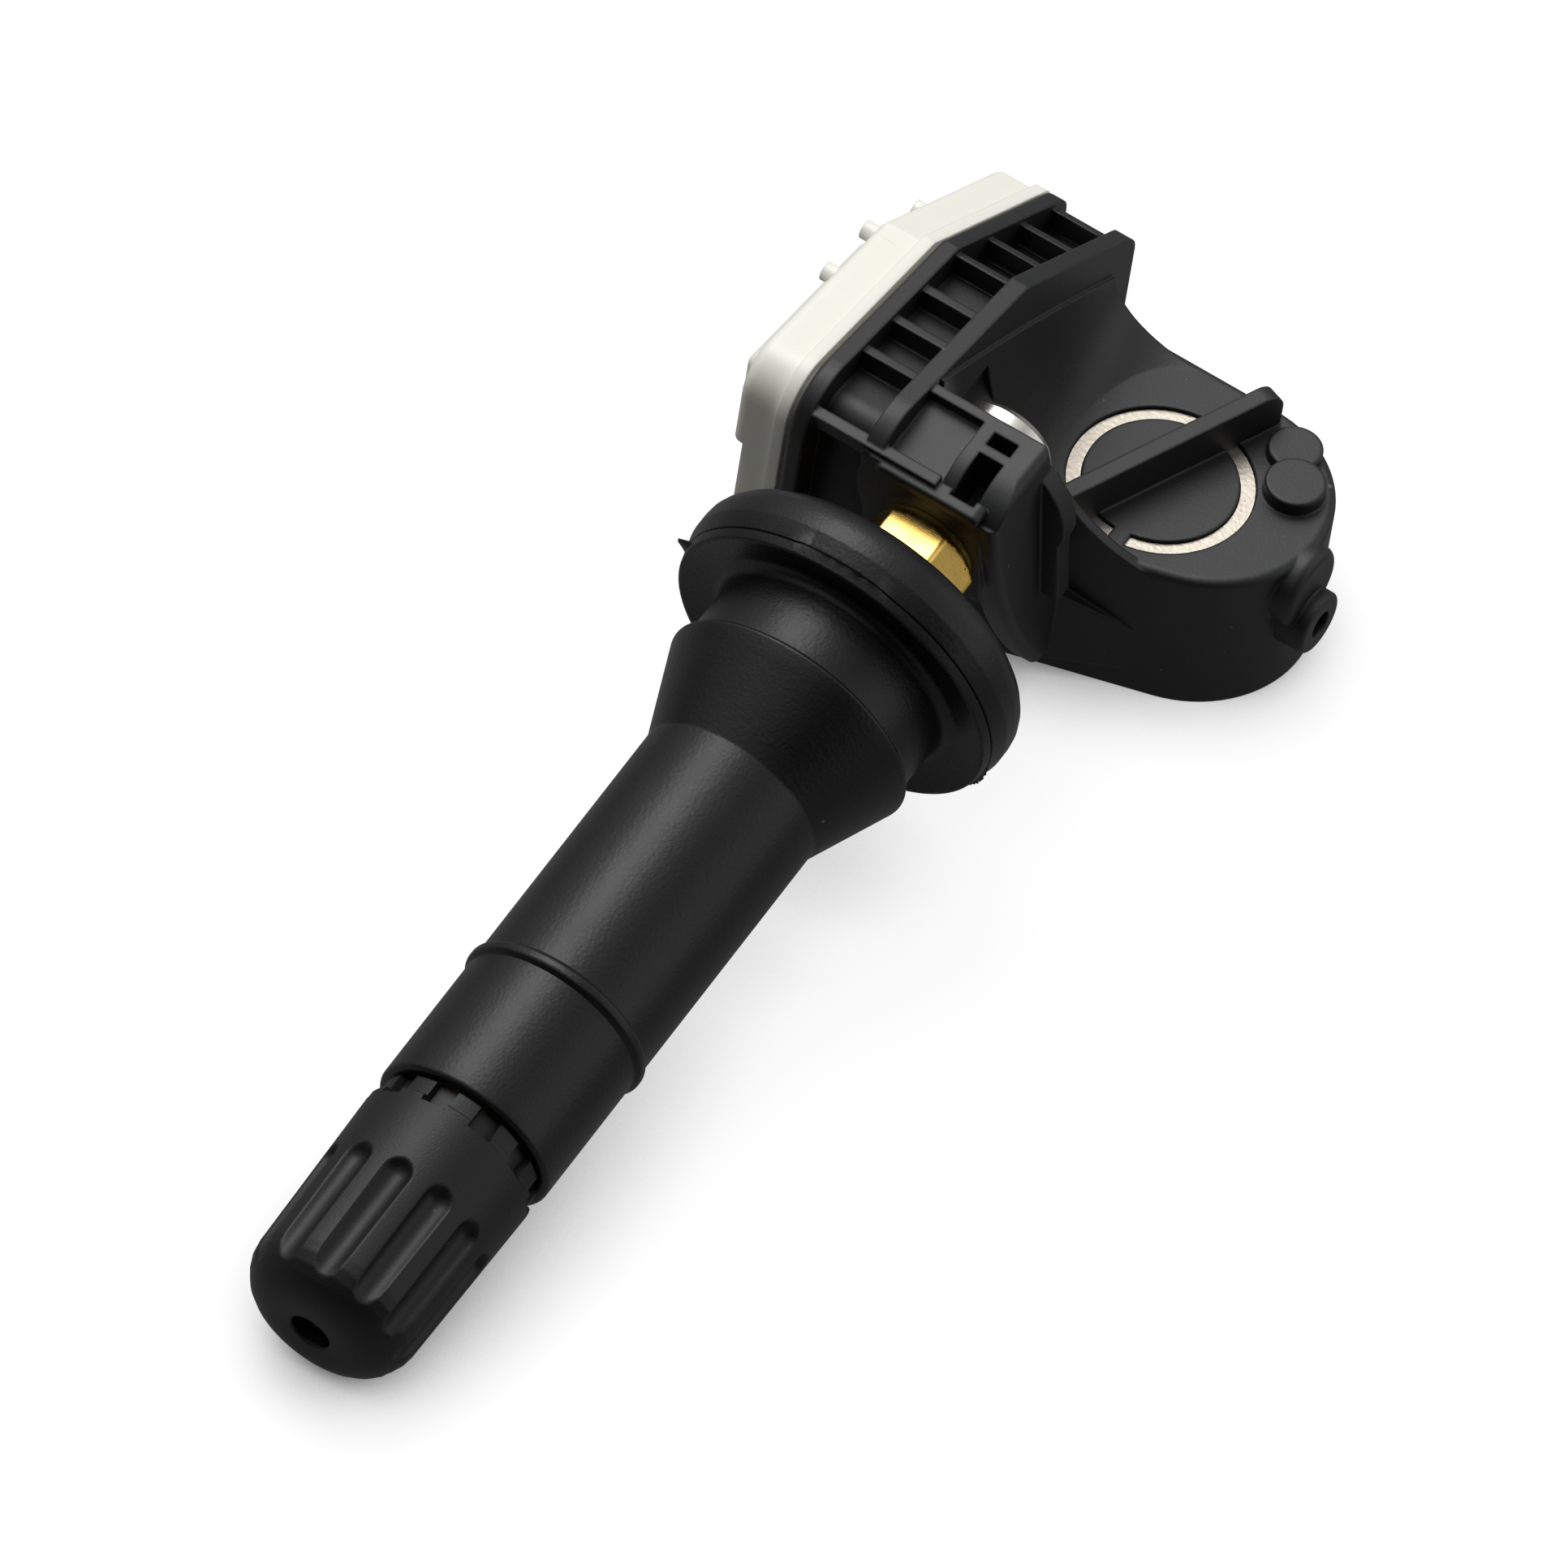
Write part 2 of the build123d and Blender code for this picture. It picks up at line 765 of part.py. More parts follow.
# Housing: tray with its rib cage, hump, saddle, stem bracket and pressure port
outline_whole = tray_outline()
outline_ribs = tray_outline(rib_drop)
outline_cage = tray_outline(rib_depth)
outline_cavity = tray_outline(cavity_inset)
with BuildPart() as housing:
    with BuildSketch(Plane.YZ.offset(tray_mouth)):
        add(outline_whole)
    extrude(amount=wall_face - tray_mouth)
    fillet(housing.faces().sort_by(Axis.X)[0].edges(), flange_edge_rounding)
    with BuildSketch(Plane.YZ.offset(cage_start)):
        add(outline_whole)
        add(outline_cage, mode=Mode.SUBTRACT)
    extrude(amount=cage_width, mode=Mode.SUBTRACT)
    # Ribs across the cage, a little lower than the flanges beside them
    with BuildSketch(Plane.YZ.offset(cage_start)):
        with Locations(*[(place, 0) for place in rib_places[:-1]]):
            Rectangle(rib_thickness, 2 * far_end)
        with Locations((rib_places[-1], roof_far_level)):
            Rectangle(rib_thickness, 2 * rib_depth)
        with Locations(*[(far_end, hump_top - end_rib_pitch * step) for step in range(end_ribs)]):
            Rectangle(4 * rib_depth, rib_thickness)
        add(outline_ribs, mode=Mode.INTERSECT)
    extrude(amount=cage_width)
    # Hump with its round end
    with BuildSketch(Plane.XY.offset(base_level)):
        with Locations((hump_x, hump_y)):
            Circle(hump_radius)
        with Locations((wall_face - wall_thickness / 2, (hump_near + hump_far) / 2)):
            Rectangle(wall_thickness, hump_far - hump_near)
        make_hull()
    extrude(amount=hump_top - base_level)
    tops = housing.faces().filter_by(Axis.Z).filter_by(lambda face: abs(face.center().Z - hump_top) < 0.01)
    fillet(tops.edges().filter_by(lambda edge: edge.center().X > wall_face + 1), hump_edge_rounding)
    # Pressure port: swelling on the round end, then the boss
    with BuildSketch(Plane.YZ.offset(hump_x)):
        with Locations((port_y, hump_top - port_root_radius)):
            Circle(port_root_radius)
    extrude(amount=port_root_end - hump_x)
    fillet(housing.faces().sort_by(Axis.X)[-1].edges(), port_root_rounding)
    with BuildSketch(Plane.YZ.offset(hump_x)):
        with Locations((port_y, port_z)):
            Circle(port_radius)
    extrude(amount=port_end - hump_x)
    fillet(housing.faces().sort_by(Axis.X)[-1].edges(), port_edge_rounding)
    # Saddle, strut, lip and gusset
    add(saddle.part)
    add(strut.part)
    with BuildSketch(front_wall):
        with BuildLine():
            ThreePointArc(
                (lip_start, lip_top),
                ((lip_start + lip_end) / 2, (lip_top + hump_top) / 2 - lip_sag),
                (lip_end, hump_top - hump_edge_rounding),
            )
            Polyline(
                (lip_end, hump_top - hump_edge_rounding),
                (lip_end, hump_top - lip_thickness),
                (lip_start, hump_top - lip_thickness),
                (lip_start, lip_top),
            )
        make_face()
    extrude(amount=-lip_thickness)
    add(gusset.part)
    # Stem bracket: block on the tray's wall, round below the valve, with a round plate in front
    with BuildSketch(across(bracket_end)):
        rectangle_between(wall_face - wall_thickness / 2, bracket_half, 0, bracket_top)
        Circle(plate_radius)
        rectangle_between(-plate_left, bracket_half, -plate_radius, bracket_top, Mode.INTERSECT)
    extrude(amount=bracket_end - seat_station)
    with BuildSketch(across(seat_station)):
        rectangle_between(-plate_left, bracket_half, -plate_radius, bracket_top - hood_drop)
    extrude(amount=front_room, mode=Mode.SUBTRACT)
    with BuildSketch(across(front_bar_station)):
        Circle(plate_radius)
        with Locations((plate_round_x, plate_round_lift)):
            Circle(plate_round_radius)
        rectangle_between(-plate_left, bracket_half, -plate_radius, bracket_top - hood_drop, Mode.INTERSECT)
    extrude(amount=front_bar_station - seat_station)
    # Rails that bend down to the front, and the bar that runs on over the cage
    with BuildSketch(across(front_bar_station)):
        rectangle_between(cage_start, bracket_half, bracket_top - hood_drop, 2 * bracket_top)
    extrude(amount=front_room, mode=Mode.SUBTRACT)
    with BuildSketch(stem_side.offset(mid_rail_x)):
        with BuildLine():
            TangentArc(
                (rail_bend_start, bracket_top),
                (front_bar_station, bracket_top - rail_bend_drop),
                tangent=(-1, 0),
            )
            Polyline(
                (front_bar_station, bracket_top - rail_bend_drop),
                (front_bar_station - front_room, bracket_top - rail_bend_drop),
                (front_bar_station - front_room, bracket_top + rail_bend_drop),
                (rail_bend_start, bracket_top + rail_bend_drop),
                (rail_bend_start, bracket_top),
            )
        make_face()
    extrude(amount=2 * bracket_half, mode=Mode.SUBTRACT)
    with BuildSketch(across(front_bar_station + front_bar_width)):
        rectangle_between(cage_start, mid_rail_x, bracket_top - front_bar_height, bracket_top)
    extrude(amount=front_bar_width)
    # Hood over the stem's hexagon
    add(hood.part)
    with BuildSketch(across(bracket_end)):
        Circle(shoulder_radius)
        rectangle_between(wall_face, shoulder_radius, -shoulder_radius, bracket_top, Mode.INTERSECT)
        rectangle_between(strut_x, web_reach, -web_drop, 0)
    extrude(amount=shoulder_thickness)
    # Pockets between the bracket's rails
    with BuildSketch(ladder):
        rectangle_between(wall_face, mid_rail_x, pocket_start, pocket_end)
    extrude(amount=-pocket_depth, mode=Mode.SUBTRACT)
    with BuildSketch(ladder):
        rectangle_between(mid_rail_x + mid_rail_width, bracket_half - rail_thickness, slot_start, slot_end)
    extrude(amount=-slot_depth, mode=Mode.SUBTRACT)
    with BuildSketch(ladder):
        rectangle_between(
            mid_rail_x + mid_rail_width, bracket_half - rail_thickness, small_slot_start, small_slot_end
        )
    extrude(amount=-small_slot_depth, mode=Mode.SUBTRACT)
    # Screw hole and room for the screw's head
    with BuildSketch(across(bracket_end)):
        Circle(screw_hole)
    extrude(amount=bracket_end - seat_station, mode=Mode.SUBTRACT)
    with BuildSketch(across(bracket_end)):
        Circle(screw_head_radius + screw_head_room)
    extrude(amount=-screw_head_height - screw_head_run, mode=Mode.SUBTRACT)
    # Tray cavity with the posts that carry the circuit board
    with BuildSketch(Plane.YZ.offset(tray_mouth)):
        add(outline_cavity)
    extrude(amount=tray_bottom - tray_mouth, mode=Mode.SUBTRACT)
    with BuildSketch(Plane.YZ.offset(tray_bottom)):
        with Locations((post_y, post_z)):
            with GridLocations(2 * post_spread_y, 2 * post_spread_z, 2, 2):
                Circle(post_radius)
    extrude(amount=-board_stand)
    # Battery pocket, ring window and the slots for the tabs
    with BuildSketch(Plane.XY.offset(cell_bottom)):
        with Locations((ring_x, ring_y)):
            Circle(cell_radius + cell_clearance)
    extrude(amount=cell_height + cell_clearance, mode=Mode.SUBTRACT)
    with BuildSketch(Plane.XY.offset(cell_top)):
        with Locations((ring_x, ring_y)):
            Circle(ring_outer + ring_clearance)
            Circle(ring_inner - ring_clearance, mode=Mode.SUBTRACT)
    extrude(amount=2 * cell_cover, mode=Mode.SUBTRACT)
    with BuildSketch(Plane.YZ.offset(tray_bottom)):
        with Locations((ring_y, positive_level), (ring_y, negative_level)):
            Rectangle(tab_slot_width, tab_slot_height)
    extrude(amount=ring_x + tab_slot_run - tray_bottom, mode=Mode.SUBTRACT)
    # Air way from the port, under the battery, to the slot that opens into the tray
    with BuildSketch(Plane.YZ.offset(port_end)):
        with Locations((port_y, port_z)):
            Circle(port_hole_radius)
    extrude(amount=duct_x - port_end, mode=Mode.SUBTRACT)
    with BuildSketch(Plane.XY.offset(port_z)):
        with Locations((duct_x, port_y)):
            Circle(duct_radius)
    extrude(amount=duct_z - port_z, mode=Mode.SUBTRACT)
    with BuildSketch(Plane.YZ.offset(duct_x)):
        with Locations((port_y, duct_z)):
            Circle(duct_radius)
    extrude(amount=duct_end - duct_x, mode=Mode.SUBTRACT)
    with BuildSketch(Plane.XY.offset(duct_z)):
        with Locations((duct_end, port_y)):
            Circle(duct_radius)
    extrude(amount=positive_level - duct_z, mode=Mode.SUBTRACT)
    # Rib and bridge over the ring window, and the two discs
    add(hump_rib.part)
    with BuildSketch(Plane.XY.offset(hump_top)):
        with Locations((ring_x, ring_y)):
            with PolarLocations((ring_inner + ring_outer) / 2, 1, start_angle=bridge_angle):
                Rectangle(2 * ring_width, bridge_width)
    extrude(amount=-bridge_depth)
    add(discs.part)
housing.part.label = "sensor_housing"
export_step(housing.part, "parts/sensor_housing.step")

# Breathable plug in the pressure port
with BuildPart() as port_filter:
    with BuildSketch(Plane.YZ.offset(duct_x + port_hole_radius)):
        with Locations((port_y, port_z)):
            Circle(port_hole_radius - filter_clearance)
    extrude(amount=filter_thickness)
port_filter.part.label = "port_filter"
export_step(port_filter.part, "parts/port_filter.step")

# Lid: shallow cover welded over the housing's mouth, with a raised face and three pips
outline_lid = tray_outline(lid_inset, lid_stretch)
outline_lid_body = tray_outline(lid_inset + lid_rim_step, lid_stretch)
outline_hollow = tray_outline(lid_inset + lid_wall)
outline_plateau = tray_outline(lid_inset + plateau_inset)
outline_weld = tray_outline(weld_inset)
outline_weld_inner = tray_outline(weld_inset + weld_width)
outline_spigot = tray_outline(cavity_inset + spigot_clearance)
outline_spigot_inner = tray_outline(spigot_reach)
with BuildPart() as lid:
    with BuildSketch(Plane.YZ.offset(lid_rim)):
        add(outline_lid_body)
    extrude(amount=-lid_depth)
    fillet(lid.faces().sort_by(Axis.X)[0].edges(), lid_edge_rounding)
    with BuildSketch(Plane.YZ.offset(lid_rim)):
        add(outline_lid)
    extrude(amount=-lid_rim_height)
    with BuildSketch(Plane.YZ.offset(lid_face)):
        rectangle_between(near_end, lid_step_end, base_level, lid_step_level)
    extrude(amount=lid_step_depth, mode=Mode.SUBTRACT)
    with BuildSketch(Plane.YZ.offset(lid_face)):
        add(outline_plateau)
        rectangle_between(near_end, lid_step_end, base_level, lid_step_level, Mode.SUBTRACT)
    extrude(amount=-plateau_height)
    chamfer(lid.faces().sort_by(Axis.X)[0].edges(), plateau_slope)
    with BuildSketch(Plane.YZ.offset(lid_face)):
        with Locations((near_pip_y, near_pip_z), (far_pip_y, far_pip_z)):
            Circle(pip_radius)
    extrude(amount=-plateau_height - pip_height)
    with BuildSketch(Plane.YZ.offset(lid_face)):
        with Locations((tall_pip_y, tall_pip_z)):
            Circle(pip_radius)
    extrude(amount=-plateau_height - tall_pip_height)
    with BuildSketch(Plane.YZ.offset(lid_rim)):
        add(outline_hollow)
    extrude(amount=lid_roof - lid_depth, mode=Mode.SUBTRACT)
    with BuildSketch(Plane.YZ.offset(lid_rim)):
        add(outline_weld)
        add(outline_spigot_inner, mode=Mode.SUBTRACT)
    extrude(amount=-lid_roof)
    with BuildSketch(Plane.YZ.offset(lid_rim)):
        add(outline_weld)
        add(outline_weld_inner, mode=Mode.SUBTRACT)
    extrude(amount=lid_gap)
    with BuildSketch(Plane.YZ.offset(lid_rim)):
        add(outline_spigot)
        add(outline_spigot_inner, mode=Mode.SUBTRACT)
    extrude(amount=lid_gap + spigot_depth)
lid.part.label = "lid"
export_step(lid.part, "parts/lid.step")

# Sealed cell with the rim that shows through the ring window
with BuildPart() as battery:
    with BuildSketch(Plane.XY.offset(cell_bottom)):
        with Locations((ring_x, ring_y)):
            Circle(cell_radius)
    extrude(amount=cell_height)
    fillet(battery.edges().filter_by(GeomType.CIRCLE), cell_rounding)
    with BuildSketch(Plane.XY.offset(cell_top - cell_rounding)):
        with Locations((ring_x, ring_y)):
            Circle(ring_outer)
            Circle(ring_inner, mode=Mode.SUBTRACT)
    extrude(amount=cell_rounding + cell_cover - ring_recess)
battery.part.label = "battery"
export_step(battery.part, "parts/battery.step")

# Tabs from the cell to the circuit board: one under the can, one hollowed to fit the can's side
for tab_name, level, rise in (
    ("battery_tab_positive", positive_level, tab_rise),
    ("battery_tab_negative", negative_level, tab_rise),
):
    with BuildPart() as tab:
        with BuildSketch(Plane.XZ.offset(-ring_y)):
            rectangle_between(
                board_face + tab_foot, ring_x, level - tab_thickness / 2, level + tab_thickness / 2
            )
            rectangle_between(
                board_face + tab_foot, board_face + tab_foot + tab_thickness, level, level + rise
            )
            rectangle_between(
                board_face, board_face + tab_foot + tab_thickness, level + rise, level + rise + tab_thickness
            )
        extrude(amount=tab_width / 2, both=True)
        with BuildSketch(Plane.XY.offset(cell_bottom)):
            with Locations((ring_x, ring_y)):
                Circle(cell_radius)
        extrude(amount=cell_height, mode=Mode.SUBTRACT)
    tab.part.label = tab_name
    export_step(tab.part, f"parts/{tab_name}.step")

# Circuit board on its posts
outline_board = tray_outline(cavity_inset + board_clearance)
with BuildPart() as board:
    with BuildSketch(Plane.YZ.offset(board_face)):
        add(outline_board)
    extrude(amount=-board_thickness)
board.part.label = "circuit_board"
export_step(board.part, "parts/circuit_board.step")

# Pressure sensor with its air hole
with BuildPart() as sensor_chip:
    with BuildSketch(Plane.YZ.offset(board_back)):
        with Locations((sensor_y, sensor_z)):
            Rectangle(sensor_side, sensor_side)
    extrude(amount=-sensor_height)
    with BuildSketch(Plane.YZ.offset(board_back - sensor_height)):
        with Locations((sensor_y, sensor_z)):
            Circle(sensor_port_radius)
    extrude(amount=sensor_port_depth, mode=Mode.SUBTRACT)
sensor_chip.part.label = "pressure_sensor_chip"
export_step(sensor_chip.part, "parts/pressure_sensor_chip.step")

# Transmitter chip
with BuildPart() as transmitter:
    with BuildSketch(Plane.YZ.offset(board_back)):
        with Locations((transmitter_y, transmitter_z)):
            Rectangle(transmitter_side, transmitter_side)
    extrude(amount=-transmitter_height)
transmitter.part.label = "transmitter_chip"
export_step(transmitter.part, "parts/transmitter_chip.step")

# Quartz crystal
with BuildPart() as crystal:
    with BuildSketch(Plane.YZ.offset(board_back)):
        with Locations((crystal_y, crystal_z)):
            RectangleRounded(crystal_length, crystal_width, crystal_rounding)
    extrude(amount=-crystal_height)
crystal.part.label = "crystal"
export_step(crystal.part, "parts/crystal.step")

# Low-frequency antenna: ferrite core with its winding
with BuildPart() as coil_core:
    with BuildSketch(Plane.YZ.offset(board_back)):
        with Locations((coil_y, coil_z)):
            Rectangle(coil_length, coil_width)
    extrude(amount=-coil_height)
    with BuildSketch(Plane.XZ.offset(-coil_y)):
        with Locations((board_back - coil_height / 2, coil_z)):
            Rectangle(coil_height, coil_width)
            Rectangle(coil_height - 2 * coil_waist, coil_width - 2 * coil_waist, mode=Mode.SUBTRACT)
    extrude(amount=coil_length / 2 - coil_flange, both=True, mode=Mode.SUBTRACT)
coil_core.part.label = "antenna_coil_core"
export_step(coil_core.part, "parts/antenna_coil_core.step")

with BuildPart() as winding:
    with BuildSketch(Plane.XZ.offset(-coil_y)):
        with Locations((board_back - coil_height / 2, coil_z)):
            RectangleRounded(
                coil_height - 2 * winding_margin, coil_width - 2 * winding_margin, coil_waist - winding_margin
            )
            Rectangle(coil_height - 2 * coil_waist, coil_width - 2 * coil_waist, mode=Mode.SUBTRACT)
    extrude(amount=coil_length / 2 - coil_flange, both=True)
winding.part.label = "antenna_coil_winding"
export_step(winding.part, "parts/antenna_coil_winding.step")

# Row of capacitors
with BuildPart() as capacitors:
    with BuildSketch(Plane.YZ.offset(board_back)):
        with Locations((capacitor_y, capacitor_z)):
            with GridLocations(capacitor_pitch, capacitor_length, capacitor_count, 1):
                Rectangle(capacitor_width, capacitor_length)
    extrude(amount=-capacitor_height)
capacitors.part.label = "capacitors"
export_step(capacitors.part, "parts/capacitors.step")
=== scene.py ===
"""Looks of a tyre pressure sensor with a snap-in rubber valve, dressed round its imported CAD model.

Metres, in the CAD model's own frame: the origin lies on the valve's axis in the rim groove, +Y runs from the
cap to the sensor housing and +Z is up. Sizes in the property groups are millimetres along and across the
valve's axis, where a station is the distance from the origin, negative towards the cap.
"""
import json
from math import atan2, ceil, cos, pi, radians, sin, sqrt, tan

import bmesh
import bpy
from mathutils import Matrix, Vector, noise


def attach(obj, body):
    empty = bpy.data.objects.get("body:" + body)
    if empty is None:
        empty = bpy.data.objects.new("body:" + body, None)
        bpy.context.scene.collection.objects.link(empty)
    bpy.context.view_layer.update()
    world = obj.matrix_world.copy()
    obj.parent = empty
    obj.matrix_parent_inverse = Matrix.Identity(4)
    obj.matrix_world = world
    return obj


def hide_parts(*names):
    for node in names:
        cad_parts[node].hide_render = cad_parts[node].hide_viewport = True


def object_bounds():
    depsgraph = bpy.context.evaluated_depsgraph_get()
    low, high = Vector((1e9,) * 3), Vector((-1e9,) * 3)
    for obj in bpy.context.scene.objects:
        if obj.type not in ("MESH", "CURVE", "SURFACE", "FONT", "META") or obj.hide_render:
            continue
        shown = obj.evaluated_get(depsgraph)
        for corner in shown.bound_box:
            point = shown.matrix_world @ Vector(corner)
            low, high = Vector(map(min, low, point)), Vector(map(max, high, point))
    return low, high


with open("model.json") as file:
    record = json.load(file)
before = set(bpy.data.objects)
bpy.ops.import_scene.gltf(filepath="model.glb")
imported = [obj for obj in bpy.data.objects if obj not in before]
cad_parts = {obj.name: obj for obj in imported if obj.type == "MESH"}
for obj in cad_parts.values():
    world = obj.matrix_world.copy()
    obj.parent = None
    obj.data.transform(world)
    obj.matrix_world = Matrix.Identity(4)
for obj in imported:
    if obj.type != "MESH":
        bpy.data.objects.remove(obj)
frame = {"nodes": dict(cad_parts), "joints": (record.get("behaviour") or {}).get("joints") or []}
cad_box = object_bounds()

bl_info = {
    "name": "Tyre pressure sensor",
    "version": (1, 0, 0),
    "blender": (4, 5, 0),
    "location": "View3D > Sidebar > Tyre sensor",
    "description": "Builds the rubber valve, cap, housing and finishes of a tyre pressure sensor",
    "category": "Object",
}

MM = 0.001
BODY = "sensor"
CAP_BODY = "cap"

# Points round each turned piece, and the longest steps along its outline in millimetres
RUBBER_SEGMENTS, CAP_SEGMENTS, STEM_SEGMENTS = 360, 440, 180
FINE_ROW, LONG_ROW, STRAIGHT_ROW = 0.12, 0.8, 1.0
# Rows in a turn of the thread, and how steeply its flanks fall
THREAD_ROWS, THREAD_FLANK = 8, 2.6
# Angle in degrees above which the edges of a turned piece, or of the cap with its eased grooves, stay sharp
SHARP, CAP_SHARP = 38.0, 62.0
# Share of open sky from which the floor has its full white; below it the white is dimmed into a painted contact shadow
OPEN_FLOOR = 0.85
# Small lengths in millimetres
RIB_SLOPE, TIP_CHAMFER, ROW_MARGIN, RIM_FLASH, CORNER_WEAR = 0.2, 0.4, 0.1, 0.05, 0.03

# The cap backs off along its joint, so the valve's axis is that joint's axis turned round
cap_joint = next(joint for joint in frame["joints"] if joint["name"] == "cap_travel")
AXIS = -Vector(cap_joint["axis"]).normalized()
SIDE = Vector((1.0, 0.0, 0.0))
LIFT = SIDE.cross(AXIS)
STEM_PITCH = atan2(AXIS.z, AXIS.y)


def display(red, green, blue):
    """Linear colour with full alpha from the 0 to 255 values seen on a screen."""
    linear = [((value / 255 + 0.055) / 1.055) ** 2.4 if value > 10 else value / 255 / 12.92
              for value in (red, green, blue)]
    return (*linear, 1.0)


def number(name, description, default, **options):
    """Number property."""
    return bpy.props.FloatProperty(name=name, description=description, default=default, **options)


def length(name, description, default):
    """Length property in millimetres."""
    return number(name, description, default, min=0.0, precision=3)


def whole(name, description, default):
    """Whole number property."""
    return bpy.props.IntProperty(name=name, description=description, default=default, min=1)


def heading(name, description, *default):
    """Direction property."""
    return bpy.props.FloatVectorProperty(name=name, description=description, subtype="DIRECTION", default=default)


def colour(name, description, *levels):
    """Colour property from screen values."""
    return bpy.props.FloatVectorProperty(
        name=name, description=description, subtype="COLOR", size=4, min=0.0, max=1.0, default=display(*levels)
    )


class RubberSettings(bpy.types.PropertyGroup):
    """Snap-in rubber: flange, rim groove, cone and sleeve."""
    flange_start: length("Flange start", "Station of the flange's lip", 0.7)
    flange_end: length("Flange end", "Station of the flange's top face", 4.6)
    flange_radius: length("Flange radius", "Widest radius of the flange", 9.35)
    flange_swell: length("Flange swell", "Station where the flange reaches its widest", 2.2)
    lip_radius: length("Lip radius", "Radius of the flange at its lip", 8.95)
    dish: length("Dish", "Station of the hollow inside the lip", 1.2)
    neck_radius: length("Neck radius", "Radius of the groove that holds the rim", 6.45)
    rim_grip: length("Rim grip", "Distance from the origin to the cone's wide end", 2.8)
    cone_radius: length("Cone radius", "Radius of the cone's wide end", 7.0)
    cone_end: length("Cone end", "Distance from the origin to the cone's narrow end", 8.05)
    sleeve_radius: length("Sleeve radius", "Radius of the sleeve", 4.94)
    sleeve_end: length("Sleeve end", "Distance from the origin to the sleeve's end", 31.4)
    rib_place: length("Rib place", "Distance from the origin to the ring rib's middle", 23.325)
    rib_width: length("Rib width", "Width of the ring rib", 0.85)
    rib_height: length("Rib height", "Height of the ring rib", 0.24)
    barrel_radius: length("Barrel radius", "Bore over the stem's barrel", 3.6)
    barrel_end: length("Barrel end", "Distance from the origin to the barrel's end", 18.4)
    tube_radius: length("Tube radius", "Bore over the stem's tube", 2.4)
    flange_rounding: length("Flange rounding", "Rounding of the flange's top edge", 1.68)
    seam_station: length("Seam", "Station of the mould's parting line on the flange", 1.3)
    seam_depth: length("Seam depth", "Depth of the parting line", 0.1)
    tab_height: length("Flash tab", "How far the torn flash stands out of the flange", 0.55)
    flash_height: length("Flash", "How far the low flash stands out of the flange", 0.24)
    lifted_height: length("Lifted edge", "How far the parting line's edge is lifted on top", 0.16)
    rubber_colour: colour("Rubber", "Black rubber", 15, 15, 17)


class CapSettings(bpy.types.PropertyGroup):
    """Screw cap of the valve."""
    start: length("Start", "Distance from the origin to the cap's open end", 31.5)
    shoulder: length("Shoulder", "Distance from the origin to the end of the notched collar", 32.5)
    end: length("End", "Distance from the origin to the cap's closed end", 44.55)
    floor: length("Floor", "Distance from the origin to the floor of the cap's bore", 41.95)
    bore_radius: length("Bore", "Radius of the cap's bore", 3.91)
    collar_radius: length("Collar radius", "Radius of the notched collar", 4.55)
    radius: length("Radius", "Radius of the cap at its shoulder", 4.82)
    tip_radius: length("Tip radius", "Radius of the cap at its closed end", 4.6)
    end_rounding: length("End rounding", "Rounding of the closed end", 2.4)
    notches: whole("Notches", "Notches round the collar", 11)
    notch_width: length("Notch width", "Width of a notch", 1.1)
    notch_length: length("Notch length", "Length of a notch along the cap", 1.3)
    notch_depth: length("Notch depth", "Depth of a notch below the collar", 0.42)
    flutes: whole("Flutes", "Finger grooves round the cap", 12)
    flute_radius: length("Flute radius", "Radius of a finger groove", 0.85)
    flute_depth: length("Flute depth", "Depth of a finger groove", 0.62)
    flute_easing: length("Flute easing", "Depth over which a finger groove's edges are rounded", 0.16)
    flute_start: length("Flute start", "Distance from the origin to the flutes' near tips", 36.15)
    flute_end: length("Flute end", "Distance from the origin to the flutes' far tips", 44.1)
    hole_radius: length("Hole radius", "Radius of the blind hole in the closed end", 1.1)
    hole_depth: length("Hole depth", "Depth of the blind hole", 1.1)
    pip_radius: length("Pip radius", "Radius of the moulding pip in the hole", 0.4)
    pip_height: length("Pip height", "Height of the moulding pip", 0.5)
    cap_colour: colour("Cap", "Black plastic of the cap", 17, 17, 19)


class StemSettings(bpy.types.PropertyGroup):
    """Brass stem with its thread and hexagon."""
    tip: length("Tip", "Distance from the origin to the stem's tip", 41.0)
    thread_radius: length("Thread radius", "Crest radius of the thread", 3.85)
    thread_pitch: length("Thread pitch", "Travel of the thread in one turn", 0.794)
    thread_depth: length("Thread depth", "Depth of the thread", 0.42)
    hexagon_start: length("Hexagon start", "Station where the hexagon starts", 4.6)
    hexagon_end: length("Hexagon end", "Station of the hexagon's chamfered end", 9.05)
    seat: length("Seat", "Station where the stem meets the housing", 9.3)
    collar_radius: length("Collar radius", "Radius of the round collar behind the hexagon", 2.65)
    hexagon_flats: length("Across flats", "Hexagon across its flats", 5.4)
    hexagon_chamfer: length("Chamfer", "Chamfer of the hexagon's end", 0.5)
    mouth_radius: length("Mouth radius", "Radius of the mouth that takes the valve core", 2.6)
    mouth_length: length("Mouth length", "Length of the mouth", 4.4)
    core_radius: length("Core bore", "Radius of the bore round the valve core", 2.1)
    core_length: length("Core bore length", "Length of the bore round the valve core", 11.6)
    air_radius: length("Air bore", "Radius of the air bore", 1.2)
    port_radius: length("Air port", "Radius of the cross hole", 0.5)
    port_station: length("Air port place", "Station of the cross hole", 5.5)
    screw_radius: length("Screw hole", "Radius of the screw's hole", 1.5)
    screw_depth: length("Screw hole depth", "Depth of the screw's hole", 3.2)
    brass_colour: colour("Brass", "Machined brass", 236, 196, 106)
    steel_colour: colour("Steel", "Stainless steel of the screw", 214, 211, 205)


